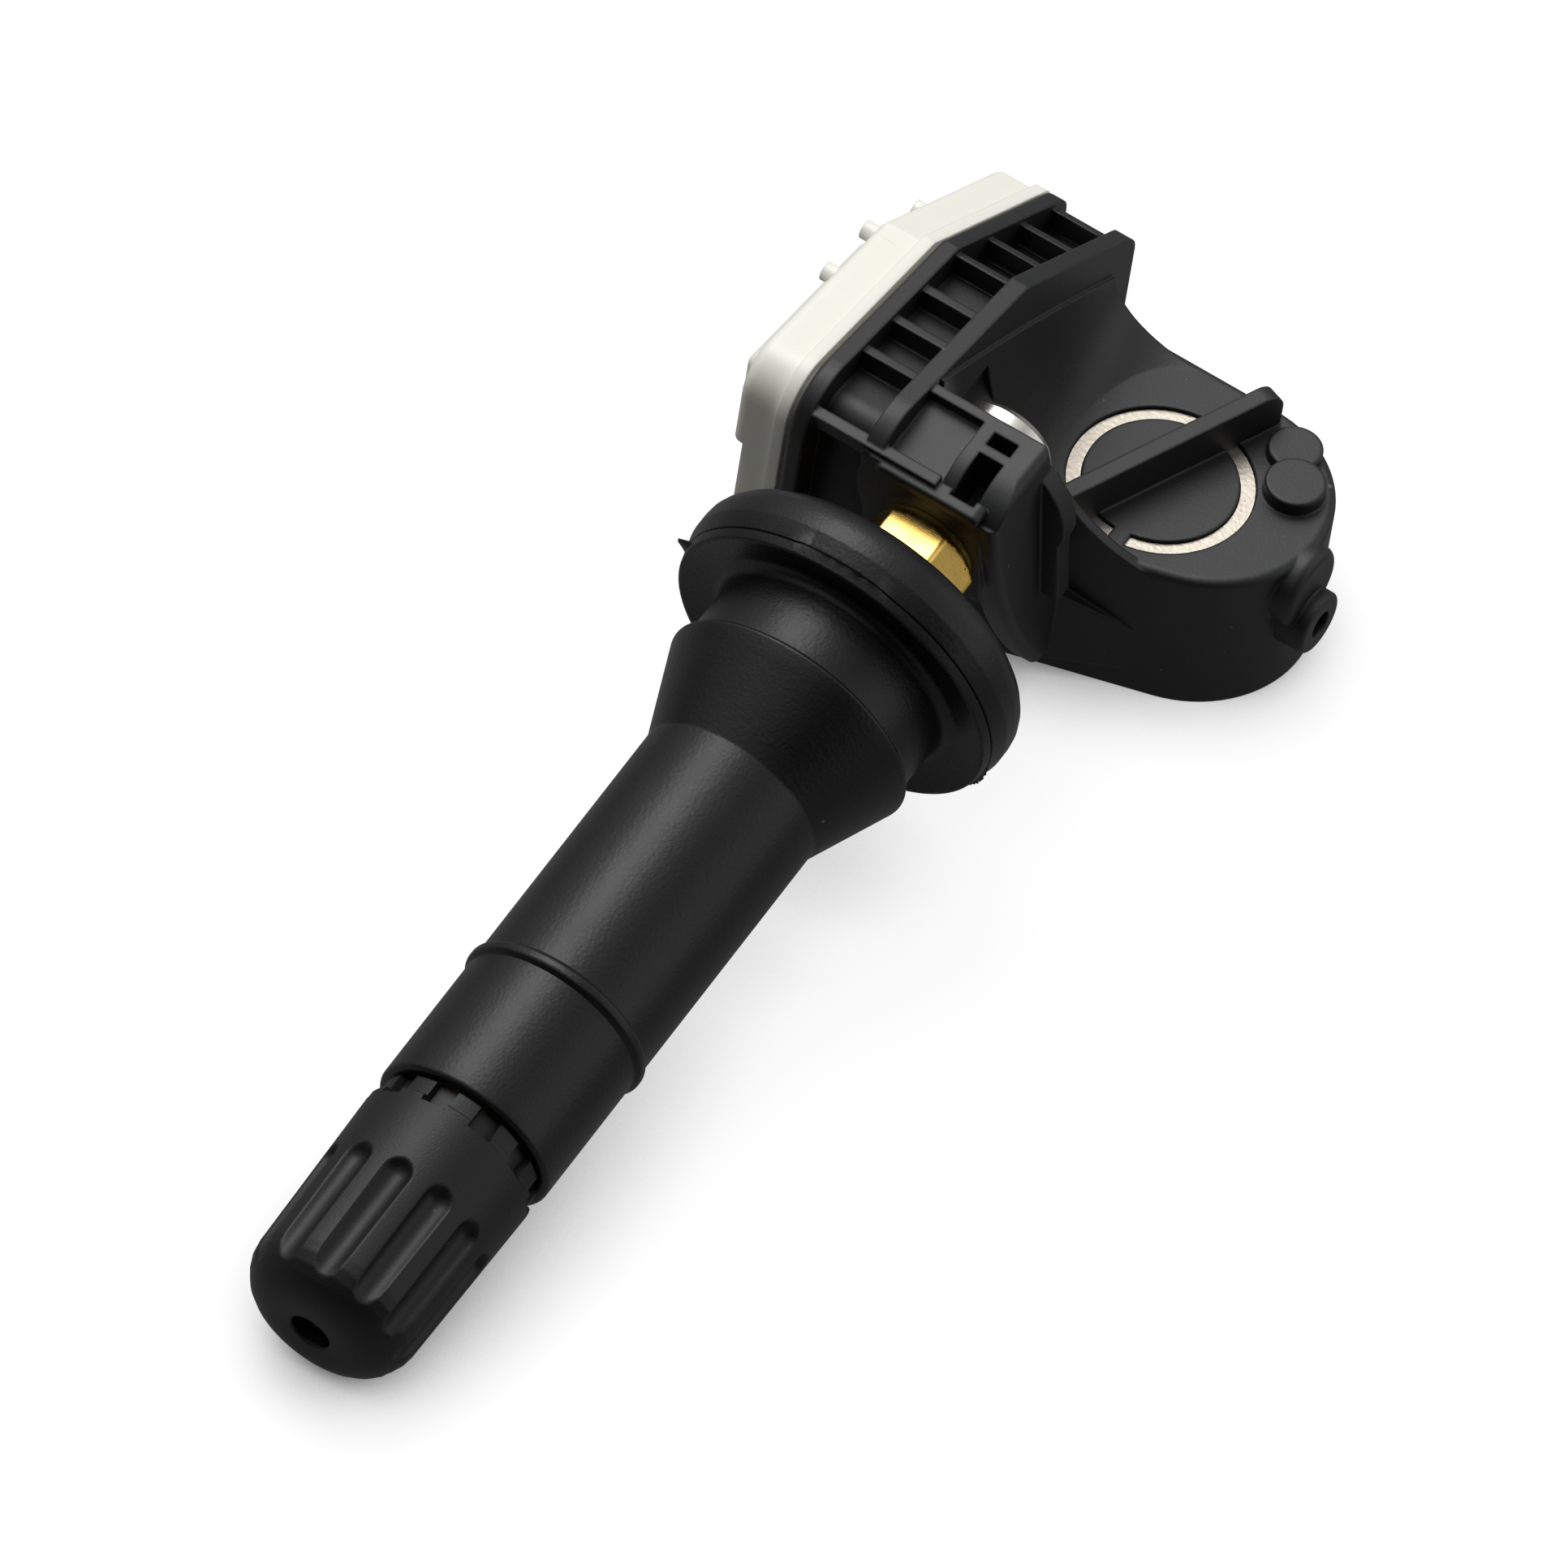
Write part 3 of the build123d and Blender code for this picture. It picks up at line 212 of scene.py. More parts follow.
class HousingSettings(bpy.types.PropertyGroup):
    """Moulded housing, lid, battery and electronics."""
    nylon_colour: colour("Nylon", "Black glass-filled nylon of the housing", 15, 16, 19)
    lid_colour: colour("Lid", "Milky plastic of the lid", 238, 238, 231)
    ring_colour: colour("Ring", "Nickel silver of the battery's rim", 198, 190, 177)
    board_colour: colour("Board", "Solder mask of the circuit board", 24, 74, 44)
    copper_colour: colour("Copper", "Copper wire of the antenna", 190, 110, 62)


class StageSettings(bpy.types.PropertyGroup):
    """Camera, floor and lights."""
    azimuth: number("Azimuth", "Camera's turn round the sensor", radians(25.9), subtype="ANGLE")
    elevation: number("Elevation", "Camera's height above the horizon", radians(49.6), subtype="ANGLE")
    roll: number("Roll", "Camera's roll", radians(9.65), subtype="ANGLE")
    target: bpy.props.FloatVectorProperty(
        name="Target", description="Point at the picture's centre", subtype="XYZ", unit="LENGTH",
        default=(0.96 * MM, -4.16 * MM, -3.57 * MM),
    )
    view_width: number("View width", "Width of the picture at the target", 76.5 * MM, unit="LENGTH")
    lens: number("Lens", "Focal length", 900.0, unit="CAMERA")
    floor_size: number("Floor", "Side of the white floor", 1.6, unit="LENGTH")
    floor_share: number("Floor share", "Part of the floor's white that shadows can take away", 0.16)
    floor_bounce: number("Floor bounce", "Part of the light that the floor throws back at the sensor", 0.12)
    floor_gloss: number("Floor gloss", "Part of the floor's white that shiny surfaces show", 0.14)
    floor_white: number("Floor white", "White added to what the lights give the floor", 0.9)
    contact_reach: length("Contact reach", "How far from the sensor its contact shadow reaches", 8.5)
    key_direction: heading("Key direction", "Direction of the key light and of the brightest sky", -0.38, 0.26, 0.89)
    key_level: number("Key", "Brightness of the key light's face", 5.6)
    key_distance: number("Key distance", "Distance of the key light from the target", 1.2, unit="LENGTH")
    key_width: number("Key width", "Width of the key light", 0.6, unit="LENGTH")
    key_height: number("Key height", "Height of the key light", 0.7, unit="LENGTH")
    sky_low: number("Low sky", "Level of the sky away from the key", 0.03)
    sky_high: number("High sky", "Level of the sky round the key", 1.0)
    sky_edge: number("Sky edge", "Cosine where the bright sky round the key ends", 0.3)
    side_direction: heading("Side direction", "Direction of the pale wall beside the sensor", 0.8, 0.52, 0.22)
    side_level: number("Side", "Level of the pale wall beside the sensor", 1.0)
    side_edge: number("Side edge", "Cosine where the pale wall ends", 0.6)
    full_edge: number("Full edge", "Cosine from which the bright sky and the pale wall are at their full level", 0.97)


# Meshes

def from_nearest(angle, period):
    """Angle from the nearest multiple of a period."""
    return (angle + period / 2) % period - period / 2


def on_axis(station, radius, angle):
    """Point of the frame from a station and a radius in millimetres and an angle round the valve's axis."""
    return (AXIS * station + SIDE * (radius * cos(angle)) + LIFT * (radius * sin(angle))) * MM


def rounded(corners, steps=6):
    """Closed outline with each (station, radius, rounding) corner replaced by an arc of that radius."""
    outline = []
    for index, (station, radius, rounding) in enumerate(corners):
        here = Vector((station, radius))
        previous, following = corners[index - 1], corners[(index + 1) % len(corners)]
        before = Vector(previous[:2]) - here
        after = Vector(following[:2]) - here
        turn = before.angle(after)
        if rounding <= 0 or turn > pi - 0.01:
            outline.append(here)
            continue
        room_before = max(0.49 * before.length, before.length - 1.2 * previous[2])
        room_after = max(0.49 * after.length, after.length - 1.2 * following[2])
        reach = min(rounding / tan(turn / 2), room_before, room_after)
        arc_radius = reach * tan(turn / 2)
        middle = here + (before.normalized() + after.normalized()).normalized() * (arc_radius / sin(turn / 2))
        first = here + before.normalized() * reach - middle
        last = here + after.normalized() * reach - middle
        sweep = first.angle_signed(last)
        for step in range(steps + 1):
            turned = first.copy()
            turned.rotate(Matrix.Rotation(-sweep * step / steps, 2))
            outline.append(middle + turned)
    return outline


def divided(outline, longest, inner_radius=0.0, inner_longest=0.0):
    """Closed outline with its long runs divided evenly; runs inside the inner radius have their own longest step."""
    points = []
    for index, point in enumerate(outline):
        following = outline[(index + 1) % len(outline)]
        limit = inner_longest if max(point.y, following.y) < inner_radius else longest
        count = max(1, ceil((following - point).length / limit))
        points.extend(point.lerp(following, step / count) for step in range(count))
    return points


def turned_mesh(name, outline, segments, radius_at=None, sharp=SHARP):
    """Closed mesh turned about the valve's axis; radius_at can change the radius at each point and angle."""
    mesh = bpy.data.meshes.new(name)
    vertices = []
    for station, radius in outline:
        for step in range(segments):
            angle = 2 * pi * step / segments
            reach = radius_at(station, radius, angle) if radius_at else radius
            vertices.append(on_axis(station, reach, angle))
    faces = []
    for row in range(len(outline)):
        upper = (row + 1) % len(outline)
        for step in range(segments):
            across = (step + 1) % segments
            faces.append((row * segments + step, row * segments + across,
                          upper * segments + across, upper * segments + step))
    mesh.from_pydata(vertices, [], faces)
    return tidy_mesh(mesh, sharp)


def tidy_mesh(mesh, sharp=SHARP):
    """Merges doubled points, turns the faces outwards and shades the mesh smooth between its sharp edges."""
    work = bmesh.new()
    work.from_mesh(mesh)
    bmesh.ops.remove_doubles(work, verts=work.verts, dist=1e-7)
    bmesh.ops.dissolve_degenerate(work, edges=work.edges, dist=1e-8)
    bmesh.ops.recalc_face_normals(work, faces=work.faces)
    work.to_mesh(mesh)
    work.free()
    mesh.polygons.foreach_set("use_smooth", [True] * len(mesh.polygons))
    mesh.set_sharp_from_angle(angle=radians(sharp))
    return mesh


def add_object(name, data):
    """New object in the scene."""
    item = bpy.data.objects.new(name, data)
    bpy.context.scene.collection.objects.link(item)
    return item


def piece_from_mesh(name, mesh, material, body, slot, *nodes):
    """New piece that rides on a body, takes the given material as its finish and stands for the given nodes; the slot
    is not used.
    """
    piece = add_object(name, mesh)
    mesh.materials.clear()
    mesh.materials.append(material)
    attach(piece, body)
    if nodes:
        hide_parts(*nodes)
    return piece


def cut_hole(piece, centre, direction, radius, depth):
    """Cuts a round hole through a piece and keeps the result as its mesh."""
    drill_mesh = bpy.data.meshes.new("drill")
    work = bmesh.new()
    bmesh.ops.create_cone(work, cap_ends=True, segments=32, radius1=radius, radius2=radius, depth=depth)
    work.to_mesh(drill_mesh)
    work.free()
    drill_mesh.transform(Matrix.Translation(centre) @ direction.to_track_quat("Z", "Y").to_matrix().to_4x4())
    drill = add_object("drill", drill_mesh)
    cut = piece.modifiers.new("Cross hole", "BOOLEAN")
    cut.operation = "DIFFERENCE"
    cut.solver = "EXACT"
    cut.object = drill
    bpy.context.view_layer.update()
    graph = bpy.context.evaluated_depsgraph_get()
    mesh = bpy.data.meshes.new_from_object(piece.evaluated_get(graph))
    piece.modifiers.clear()
    old = piece.data
    piece.data = mesh
    bpy.data.meshes.remove(old)
    bpy.data.objects.remove(drill)
    tidy_mesh(mesh)


# Shader nodes

def add_node(tree, kind, values=None, **settings):
    """New shader node with its settings; values are constants for its inputs or the outputs that feed them."""
    node = tree.nodes.new("ShaderNode" + kind)
    for key, value in settings.items():
        setattr(node, key, value)
    for key, value in (values or {}).items():
        if isinstance(value, bpy.types.NodeSocket):
            tree.links.new(value, node.inputs[key])
        else:
            node.inputs[key].default_value = value
    return node


def calculate(tree, operation, first, second=0.0, clamp=False):
    """Output of a Math node."""
    return add_node(tree, "Math", {0: first, 1: second}, operation=operation, use_clamp=clamp).outputs[0]


def between(tree, value, low, high):
    """Value mapped smoothly from low to high onto 0 to 1."""
    node = add_node(tree, "MapRange", {"Value": value, "From Min": low, "From Max": high},
                    interpolation_type="SMOOTHSTEP")
    return node.outputs["Result"]


def blend_colours(tree, share, first, second):
    """Output of a colour Mix node."""
    node = add_node(tree, "Mix", data_type="RGBA", clamp_factor=True)
    for socket, value in ((node.inputs[0], share), (node.inputs[6], first), (node.inputs[7], second)):
        if isinstance(value, bpy.types.NodeSocket):
            tree.links.new(value, socket)
        else:
            socket.default_value = value
    return node.outputs[2]


def blend_values(tree, share, first, second):
    """Output of a value Mix node."""
    node = add_node(tree, "Mix", {0: share, 2: first, 3: second}, data_type="FLOAT", clamp_factor=True)
    return node.outputs[0]


def millimetre_coordinates(tree):
    """Object coordinates in millimetres."""
    place = add_node(tree, "TexCoord").outputs["Object"]
    return add_node(tree, "VectorMath", {0: place, "Scale": 1 / MM}, operation="SCALE").outputs[0]


def valve_coordinates(tree, stretch=(1.0, 1.0, 1.0)):
    """Object coordinates in millimetres turned so that Y runs along the valve's axis, then stretched."""
    place = add_node(tree, "TexCoord").outputs["Object"]
    node = add_node(tree, "VectorRotate", {"Vector": place, "Angle": -STEM_PITCH}, rotation_type="X_AXIS")
    scale = tuple(share / MM for share in stretch)
    return add_node(tree, "VectorMath", {0: node.outputs[0], 1: scale}, operation="MULTIPLY").outputs[0]


def noise_texture(tree, place, scale, detail=3.0, roughness=0.55, distortion=0.0):
    """Value output of a noise texture."""
    return add_node(tree, "TexNoise", {
        "Vector": place, "Scale": scale, "Detail": detail, "Roughness": roughness, "Distortion": distortion,
    }).outputs[0]


def effect_group(name, inputs, values, vectors=()):
    """Empty node group with inputs and named value and vector outputs; returns its tree, inputs and output node."""
    tree = bpy.data.node_groups.new(name, "ShaderNodeTree")
    for label, default in inputs.items():
        tree.interface.new_socket(label, in_out="INPUT", socket_type="NodeSocketFloat").default_value = default
    for labels, kind in ((values, "NodeSocketFloat"), (vectors, "NodeSocketVector")):
        for label in labels:
            tree.interface.new_socket(label, in_out="OUTPUT", socket_type=kind)
    return tree, tree.nodes.new("NodeGroupInput").outputs, tree.nodes.new("NodeGroupOutput")


def moulded_grain_group():
    """Fine moulded texture: a grain height and soft patches of mottle."""
    tree, given, result = effect_group(
        "Moulded grain", {"Grain size": 0.2, "Patch size": 4.0},
        ("Height", "Mottle", "Speckle"),
    )
    place = millimetre_coordinates(tree)
    grain_scale = calculate(tree, "DIVIDE", 1.0, given["Grain size"])
    patch_scale = calculate(tree, "DIVIDE", 1.0, given["Patch size"])
    fine = noise_texture(tree, place, grain_scale, 4.0, 0.65)
    pebble = add_node(tree, "TexVoronoi", {"Vector": place, "Scale": grain_scale}, feature="SMOOTH_F1")
    height = calculate(tree, "MULTIPLY_ADD", pebble.outputs["Distance"], 0.6)
    tree.links.new(fine, height.node.inputs[2])
    tree.links.new(height, result.inputs["Height"])
    tree.links.new(noise_texture(tree, place, patch_scale, 5.0, 0.6, 0.4), result.inputs["Mottle"])
    tree.links.new(between(tree, fine, 0.56, 0.74), result.inputs["Speckle"])
    return tree


def eased_edges_and_highlights_group():
    """Normals eased over the edges, and a mask of the edges broken up by noise that paints highlights along them."""
    tree, given, result = effect_group("Eased edges and highlights", {"Width": 0.2, "Breakup size": 0.8}, ("Edge",), ("Normal",))
    radius = calculate(tree, "MULTIPLY", given["Width"], MM)
    eased = add_node(tree, "Bevel", {"Radius": radius}, samples=6).outputs[0]
    straight = add_node(tree, "NewGeometry").outputs["Normal"]
    match = add_node(tree, "VectorMath", {0: eased, 1: straight}, operation="DOT_PRODUCT").outputs["Value"]
    bend = calculate(tree, "SUBTRACT", 1.0, match)
    breakup = noise_texture(tree, millimetre_coordinates(tree),
                            calculate(tree, "DIVIDE", 1.0, given["Breakup size"]), 4.0, 0.7)
    mask = calculate(tree, "MULTIPLY", between(tree, bend, 0.01, 0.22), between(tree, breakup, 0.4, 0.62))
    tree.links.new(mask, result.inputs["Edge"])
    tree.links.new(eased, result.inputs["Normal"])
    return tree


def specks_group():
    """Scattered specks of dust and short fine scratches."""
    tree, given, result = effect_group(
        "Specks and scratches", {"Spacing": 1.4, "Speck size": 0.1},
        ("Specks", "Scratches"),
    )
    place = millimetre_coordinates(tree)
    cells = add_node(tree, "TexVoronoi", {
        "Vector": place, "Scale": calculate(tree, "DIVIDE", 1.0, given["Spacing"]),
    })
    luck = add_node(tree, "SeparateColor", {0: cells.outputs["Color"]}).outputs[0]
    share = calculate(tree, "DIVIDE", given["Speck size"], given["Spacing"])
    limit = calculate(tree, "MULTIPLY", calculate(tree, "POWER", luck, 5.0), share)
    tree.links.new(calculate(tree, "LESS_THAN", cells.outputs["Distance"], limit), result.inputs["Specks"])
    streaks = add_node(tree, "VectorMath", {0: place, 1: (0.35, 5.0, 2.2)}, operation="MULTIPLY").outputs[0]
    turned = add_node(tree, "VectorRotate", {"Vector": streaks, "Angle": 0.7}, rotation_type="Z_AXIS")
    lines = noise_texture(tree, turned.outputs[0], 1.6, 2.0, 0.5, 0.3)
    patches = noise_texture(tree, place, 0.5, 2.0)
    mask = calculate(tree, "MULTIPLY", between(tree, lines, 0.66, 0.74), between(tree, patches, 0.5, 0.66))
    tree.links.new(mask, result.inputs["Scratches"])
    return tree


def turned_marks_group():
    """Tool marks that run round the valve's axis, and stains in patches."""
    tree, given, result = effect_group("Turned marks", {"Spacing": 0.12}, ("Marks", "Stains"))
    lines = valve_coordinates(tree, (0.15, 1.0, 0.15))
    marks = noise_texture(tree, lines, calculate(tree, "DIVIDE", 1.0, given["Spacing"]), 3.0, 0.7)
    tree.links.new(marks, result.inputs["Marks"])
    stains = noise_texture(tree, millimetre_coordinates(tree), 0.9, 6.0, 0.65, 0.8)
    tree.links.new(between(tree, stains, 0.45, 0.72), result.inputs["Stains"])
    return tree


EFFECTS = {
    "grain": moulded_grain_group,
    "edges": eased_edges_and_highlights_group,
    "specks": specks_group,
    "turned": turned_marks_group,
}
effect_trees = {}


def effect(tree, key, values):
    """Outputs of a shared effect, with values for its inputs in their order."""
    if key not in effect_trees:
        effect_trees[key] = EFFECTS[key]()
    return add_node(tree, "Group", dict(enumerate(values)), node_tree=effect_trees[key]).outputs


def plain_material(name, **constants):
    """New material with a Principled shader and constant values on its sockets; returns all three."""
    material = bpy.data.materials.new(name)
    material.use_nodes = True
    tree = material.node_tree
    shader = next(node for node in tree.nodes if node.type == "BSDF_PRINCIPLED")
    for label, value in constants.items():
        shader.inputs[label.replace("_", " ")].default_value = value
    return material, tree, shader


def scaled(shade, factor):
    """Colour made lighter or darker by a factor."""
    return (shade[0] * factor, shade[1] * factor, shade[2] * factor, 1.0)


def layered_material(name, shade, effects, base, tints, rough, relief,
                     rough_tints=(), eased=False, pattern=None, **constants):
    """New material in layers, each laid on by an output of the shared effects or by a pattern of its own.

    effects holds the sizes in millimetres that each shared effect asks for, in the order of its inputs.
    base is (mask, shade, shade) and tints are (mask, share, shade) over it in turn, where a shade is a colour or a
    factor of the material's own. rough and rough_tints are the same for the roughness. relief is (height, depth
    in millimetres, strength) of the bump, over the eased edges if asked. A mask is a name or (name, low, high).
    """
    material, tree, shader = plain_material(name, **constants)
    outputs = {}
    for key, values in effects.items():
        outputs.update(effect(tree, key, values).items())
    if pattern:
        outputs["Pattern"] = pattern(tree)

    def mask(key, share=1.0):
        value = outputs[key] if isinstance(key, str) else between(tree, outputs[key[0]], *key[1:])
        return value if share == 1.0 else calculate(tree, "MULTIPLY", value, share)

    def tone(level):
        return scaled(shade, level) if isinstance(level, float) else level

    layer = blend_colours(tree, mask(base[0]), tone(base[1]), tone(base[2]))
    for key, share, level in tints:
        layer = blend_colours(tree, mask(key, share), layer, tone(level))
    roughness = blend_values(tree, mask(rough[0]), *rough[1:])
    for key, share, level in rough_tints:
        roughness = blend_values(tree, mask(key, share), roughness, level)
    height, depth, strength = relief
    bump = add_node(tree, "Bump", {
        "Height": outputs[height], "Distance": depth * MM, "Strength": strength,
    })
    if eased:
        tree.links.new(outputs["Normal"], bump.inputs["Normal"])
    for label, value in (("Base Color", layer), ("Roughness", roughness), ("Normal", bump.outputs[0])):
        tree.links.new(value, shader.inputs[label])
    return material


def rubber_material():
    """Black moulded rubber with a satin skin, grey bloom and a fine pebble."""
    return layered_material(
        "Black rubber", bpy.context.scene.tyre_rubber.rubber_colour,
        {"grain": (0.2, 3.2), "specks": (1.7, 0.12)},
        base=("Mottle", 0.8, 1.15),
        tints=((("Mottle", 0.5, 0.8), 0.3, 2.2), ("Specks", 0.35, display(150, 150, 150))),
        rough=("Mottle", 0.3, 0.43), rough_tints=(("Speckle", 0.6, 0.24), ("Scratches", 0.6, 0.62)),
        relief=("Height", 0.021, 0.7), Specular_IOR_Level=0.3, IOR=1.5,
    )


def nylon_material():
    """Black glass-filled nylon: matte, faintly mottled, scuffed, and painted paler along its edges as a highlight."""
    return layered_material(
        "Black nylon", bpy.context.scene.tyre_housing.nylon_colour,
        {"grain": (0.13, 5.0), "edges": (0.22, 0.9), "specks": (1.3, 0.12)},
        base=("Mottle", 0.82, 1.14),
        # Edge paints a pale highlight along the edges; Specks and Scratches are dust and scuffs
        tints=(("Edge", 0.7, 4.5), ("Specks", 0.3, display(140, 140, 140)), ("Scratches", 0.18, 2.6)),
        rough=("Mottle", 0.44, 0.56), rough_tints=(("Edge", 1.0, 0.36),),
        relief=("Height", 0.016, 0.4), eased=True, Specular_IOR_Level=0.5, IOR=1.53,
    )


def cap_material():
    """Black plastic of the cap with a fine spark-eroded texture, its ridges painted paler as an edge highlight."""
    return layered_material(
        "Cap plastic", bpy.context.scene.tyre_cap.cap_colour,
        {"grain": (0.11, 2.4), "edges": (0.16, 0.6), "specks": (1.2, 0.12)},
        # Edge paints a pale highlight along the ridges and edges
        base=("Mottle", 0.85, 1.15), tints=(("Edge", 0.3, 2.4), ("Specks", 0.2, display(120, 120, 120))),
        rough=("Mottle", 0.4, 0.52), relief=("Height", 0.018, 0.55), Specular_IOR_Level=0.34, IOR=1.49,
    )


def lid_material():
    """Milky translucent plastic, yellower in patches, with faint flow marks and handling scuffs."""
    shade = bpy.context.scene.tyre_housing.lid_colour
    warm = (shade[0] * 0.985, shade[1] * 0.97, shade[2] * 0.91, 1.0)
    return layered_material(
        "Milky lid", shade,
        {"grain": (0.25, 6.0), "edges": (0.16, 1.0), "specks": (1.6, 0.12)},
        base=("Mottle", warm, 1.0),
        tints=(("Specks", 0.5, display(140, 128, 104)), ("Scratches", 0.2, display(205, 200, 186))),
        rough=("Mottle", 0.3, 0.42), relief=("Height", 0.01, 0.3), eased=True, Specular_IOR_Level=0.5, IOR=1.49,
        Subsurface_Weight=0.3, Subsurface_Scale=0.8 * MM, Subsurface_Radius=(1.0, 0.95, 0.85),
    )


def brass_material():
    """Bright turned brass with tool marks, brown stains and small pits."""
    return layered_material(
        "Brass", bpy.context.scene.tyre_stem.brass_colour,
        {"turned": (0.1,), "edges": (0.15, 0.5), "specks": (1.5, 0.2)},
        base=("Marks", 0.86, 1.06),
        # Edge paints a pale highlight along the edges; Stains and Specks are stains and pits
        tints=(("Stains", 0.22, display(190, 136, 60)), ("Edge", 0.5, display(250, 226, 160)),
               ("Specks", 1.0, display(58, 40, 18))),
        rough=("Marks", 0.18, 0.32), rough_tints=(("Stains", 0.4, 0.45),),
        relief=("Marks", 0.008, 0.4), eased=True, Metallic=1.0,
    )


def steel_material():
    """Bright turned stainless steel."""
    return layered_material(
        "Stainless steel", bpy.context.scene.tyre_stem.steel_colour,
        {"turned": (0.08,), "edges": (0.12, 0.5)},
        base=("Marks", 0.9, 1.0),
        # Edge paints a pale highlight along the edges; Stains are stains
        tints=(("Stains", 0.25, display(150, 140, 126)), ("Edge", 0.5, display(240, 238, 232))),
        rough=("Marks", 0.2, 0.34), relief=("Marks", 0.01, 0.5), Metallic=1.0,
    )


def ring_material():
    """Stamped nickel silver of the battery, dulled and lightly scratched."""
    return layered_material(
        "Nickel silver", bpy.context.scene.tyre_housing.ring_colour,
        {"grain": (0.22, 1.6), "edges": (0.12, 0.5), "specks": (0.9, 0.14)},
        base=("Mottle", 0.78, 1.04),
        # Edge paints a pale highlight along the edges; Scratches and Specks are scratches and dust
        tints=(("Scratches", 0.5, display(132, 120, 100)), ("Specks", 1.0, display(70, 62, 52)),
               ("Edge", 0.5, display(244, 240, 228))),
        rough=("Mottle", 0.26, 0.42), relief=("Height", 0.02, 0.5), Metallic=1.0,
    )


def board_tracks(tree):
    """Copper tracks under the solder mask."""
    turned = add_node(tree, "VectorRotate", {"Vector": millimetre_coordinates(tree), "Angle": pi / 2},
                      rotation_type="Y_AXIS")
    return add_node(tree, "TexBrick", {
        "Vector": turned.outputs[0], "Scale": 0.6, "Mortar Size": 0.03, "Mortar Smooth": 0.1,
    }).outputs["Fac"]


def board_material():
    """Green solder mask over faint copper tracks."""
    return layered_material(
        "Circuit board", bpy.context.scene.tyre_housing.board_colour,
        {"grain": (0.3, 3.0)},
        base=("Pattern", 1.0, 1.9), tints=(("Mottle", 0.5, 0.6),), rough=("Mottle", 0.3, 0.45),
        relief=("Pattern", 0.03, 0.6), pattern=board_tracks, Coat_Weight=0.4, Coat_Roughness=0.15,
    )


def wire_turns(tree):
    """Close turns of wire."""
    return add_node(tree, "TexWave", {
        "Vector": millimetre_coordinates(tree), "Scale": 2.4, "Distortion": 0.4,
    }, bands_direction="Y").outputs["Fac"]


def copper_material():
    """Enamelled copper wire: close turns round the antenna's core."""
    return layered_material(
        "Copper wire", bpy.context.scene.tyre_housing.copper_colour,
        {"grain": (0.1, 1.2)},
        base=("Pattern", 0.55, 1.1), tints=(("Mottle", 0.4, 0.75),), rough=("Mottle", 0.22, 0.36),
        relief=("Pattern", 0.06, 0.8), pattern=wire_turns, Metallic=1.0,
    )


def small_part_material(name, shade, low, high, metallic=0.0, grain_size=0.2):
    """Finish of a small inner piece: mottled, grained, painted paler along its edges as a highlight, low to high in
    roughness.
    """
    return layered_material(
        name, shade,
        {"grain": (grain_size, 1.5), "edges": (0.1, 0.4)},
        # Edge paints a pale highlight along the edges
        base=("Mottle", 0.8, 1.12), tints=(("Edge", 0.4, 1.8),), rough=("Mottle", low, high),
        relief=("Height", 0.012, 0.5), Metallic=metallic,
    )


def dress(material, *nodes):
    """Gives nodes of the CAD model their finish."""
    for node in nodes:
        mesh = frame["nodes"][node].data
        mesh.materials.clear()
        mesh.materials.append(material)


# Pieces

def flash_height(rubber, angle):
    """How far the flash on the flange's parting line stands out at an angle round the valve."""
    ragged = noise.noise(Vector((40.0 * cos(angle), 40.0 * sin(angle), 3.0)))
    height = 0.0
    # Height, middle and half width in degrees, steepness of the ends, mean level and raggedness
    for peak, middle, half, power, level, torn in (
        (rubber.tab_height, 165.0, 2.6, 4, 1.0, 0.25),
        (rubber.flash_height, -24.0, 11.0, 2, 0.8, 0.7),
        (rubber.lifted_height, 88.0, 19.0, 4, 0.7, 0.5),
    ):
        turn = from_nearest(angle - radians(middle), 2 * pi)
        height += peak * max(0.0, 1.0 - (turn / radians(half)) ** power) * (level + torn * ragged)
    return max(height, RIM_FLASH * max(0.0, ragged))


def rubber_outline(rubber):
    """Half section of the rubber as (station, radius) points."""
    sleeve = rubber.sleeve_radius
    rib_low = -rubber.rib_place - rubber.rib_width / 2
    rib_high = -rubber.rib_place + rubber.rib_width / 2
    slope = (rubber.flange_radius - rubber.lip_radius) / (rubber.flange_swell - rubber.flange_start)
    seam = rubber.seam_station
    seam_radius = rubber.lip_radius + slope * (seam - rubber.flange_start)
    gap = rubber.seam_depth
    corners = [
        (-rubber.sleeve_end, rubber.barrel_radius, 0.0),
        (-rubber.sleeve_end, sleeve, 0.3),
        (rib_low, sleeve, 0.05),
        (rib_low + RIB_SLOPE, sleeve + rubber.rib_height, 0.3),
        (rib_high - RIB_SLOPE, sleeve + rubber.rib_height, 0.3),
        (rib_high, sleeve, 0.05),
        (-rubber.cone_end, sleeve, 0.5),
        (-rubber.rim_grip, rubber.cone_radius, 0.28),
        (-rubber.rim_grip, rubber.neck_radius, 0.2),
        (rubber.dish, rubber.neck_radius, 0.6),
        (rubber.flange_start, rubber.lip_radius - 0.2, 0.15),
        (rubber.flange_start, rubber.lip_radius, 0.15),
        (seam - gap, seam_radius - 0.3 * gap, 0.0),
        (seam - 0.3 * gap, seam_radius - gap, 0.0),
        (seam, seam_radius, 0.0),
        (seam + gap, seam_radius + 0.4 * gap, 0.0),
        (rubber.flange_swell, rubber.flange_radius, 0.6),
        (rubber.flange_end, rubber.flange_radius, rubber.flange_rounding),
        (rubber.flange_end, rubber.tube_radius, 0.0),
        (-rubber.barrel_end, rubber.tube_radius, 0.0),
        (-rubber.barrel_end, rubber.barrel_radius, 0.0),
    ]
    return divided(rounded(corners), LONG_ROW)


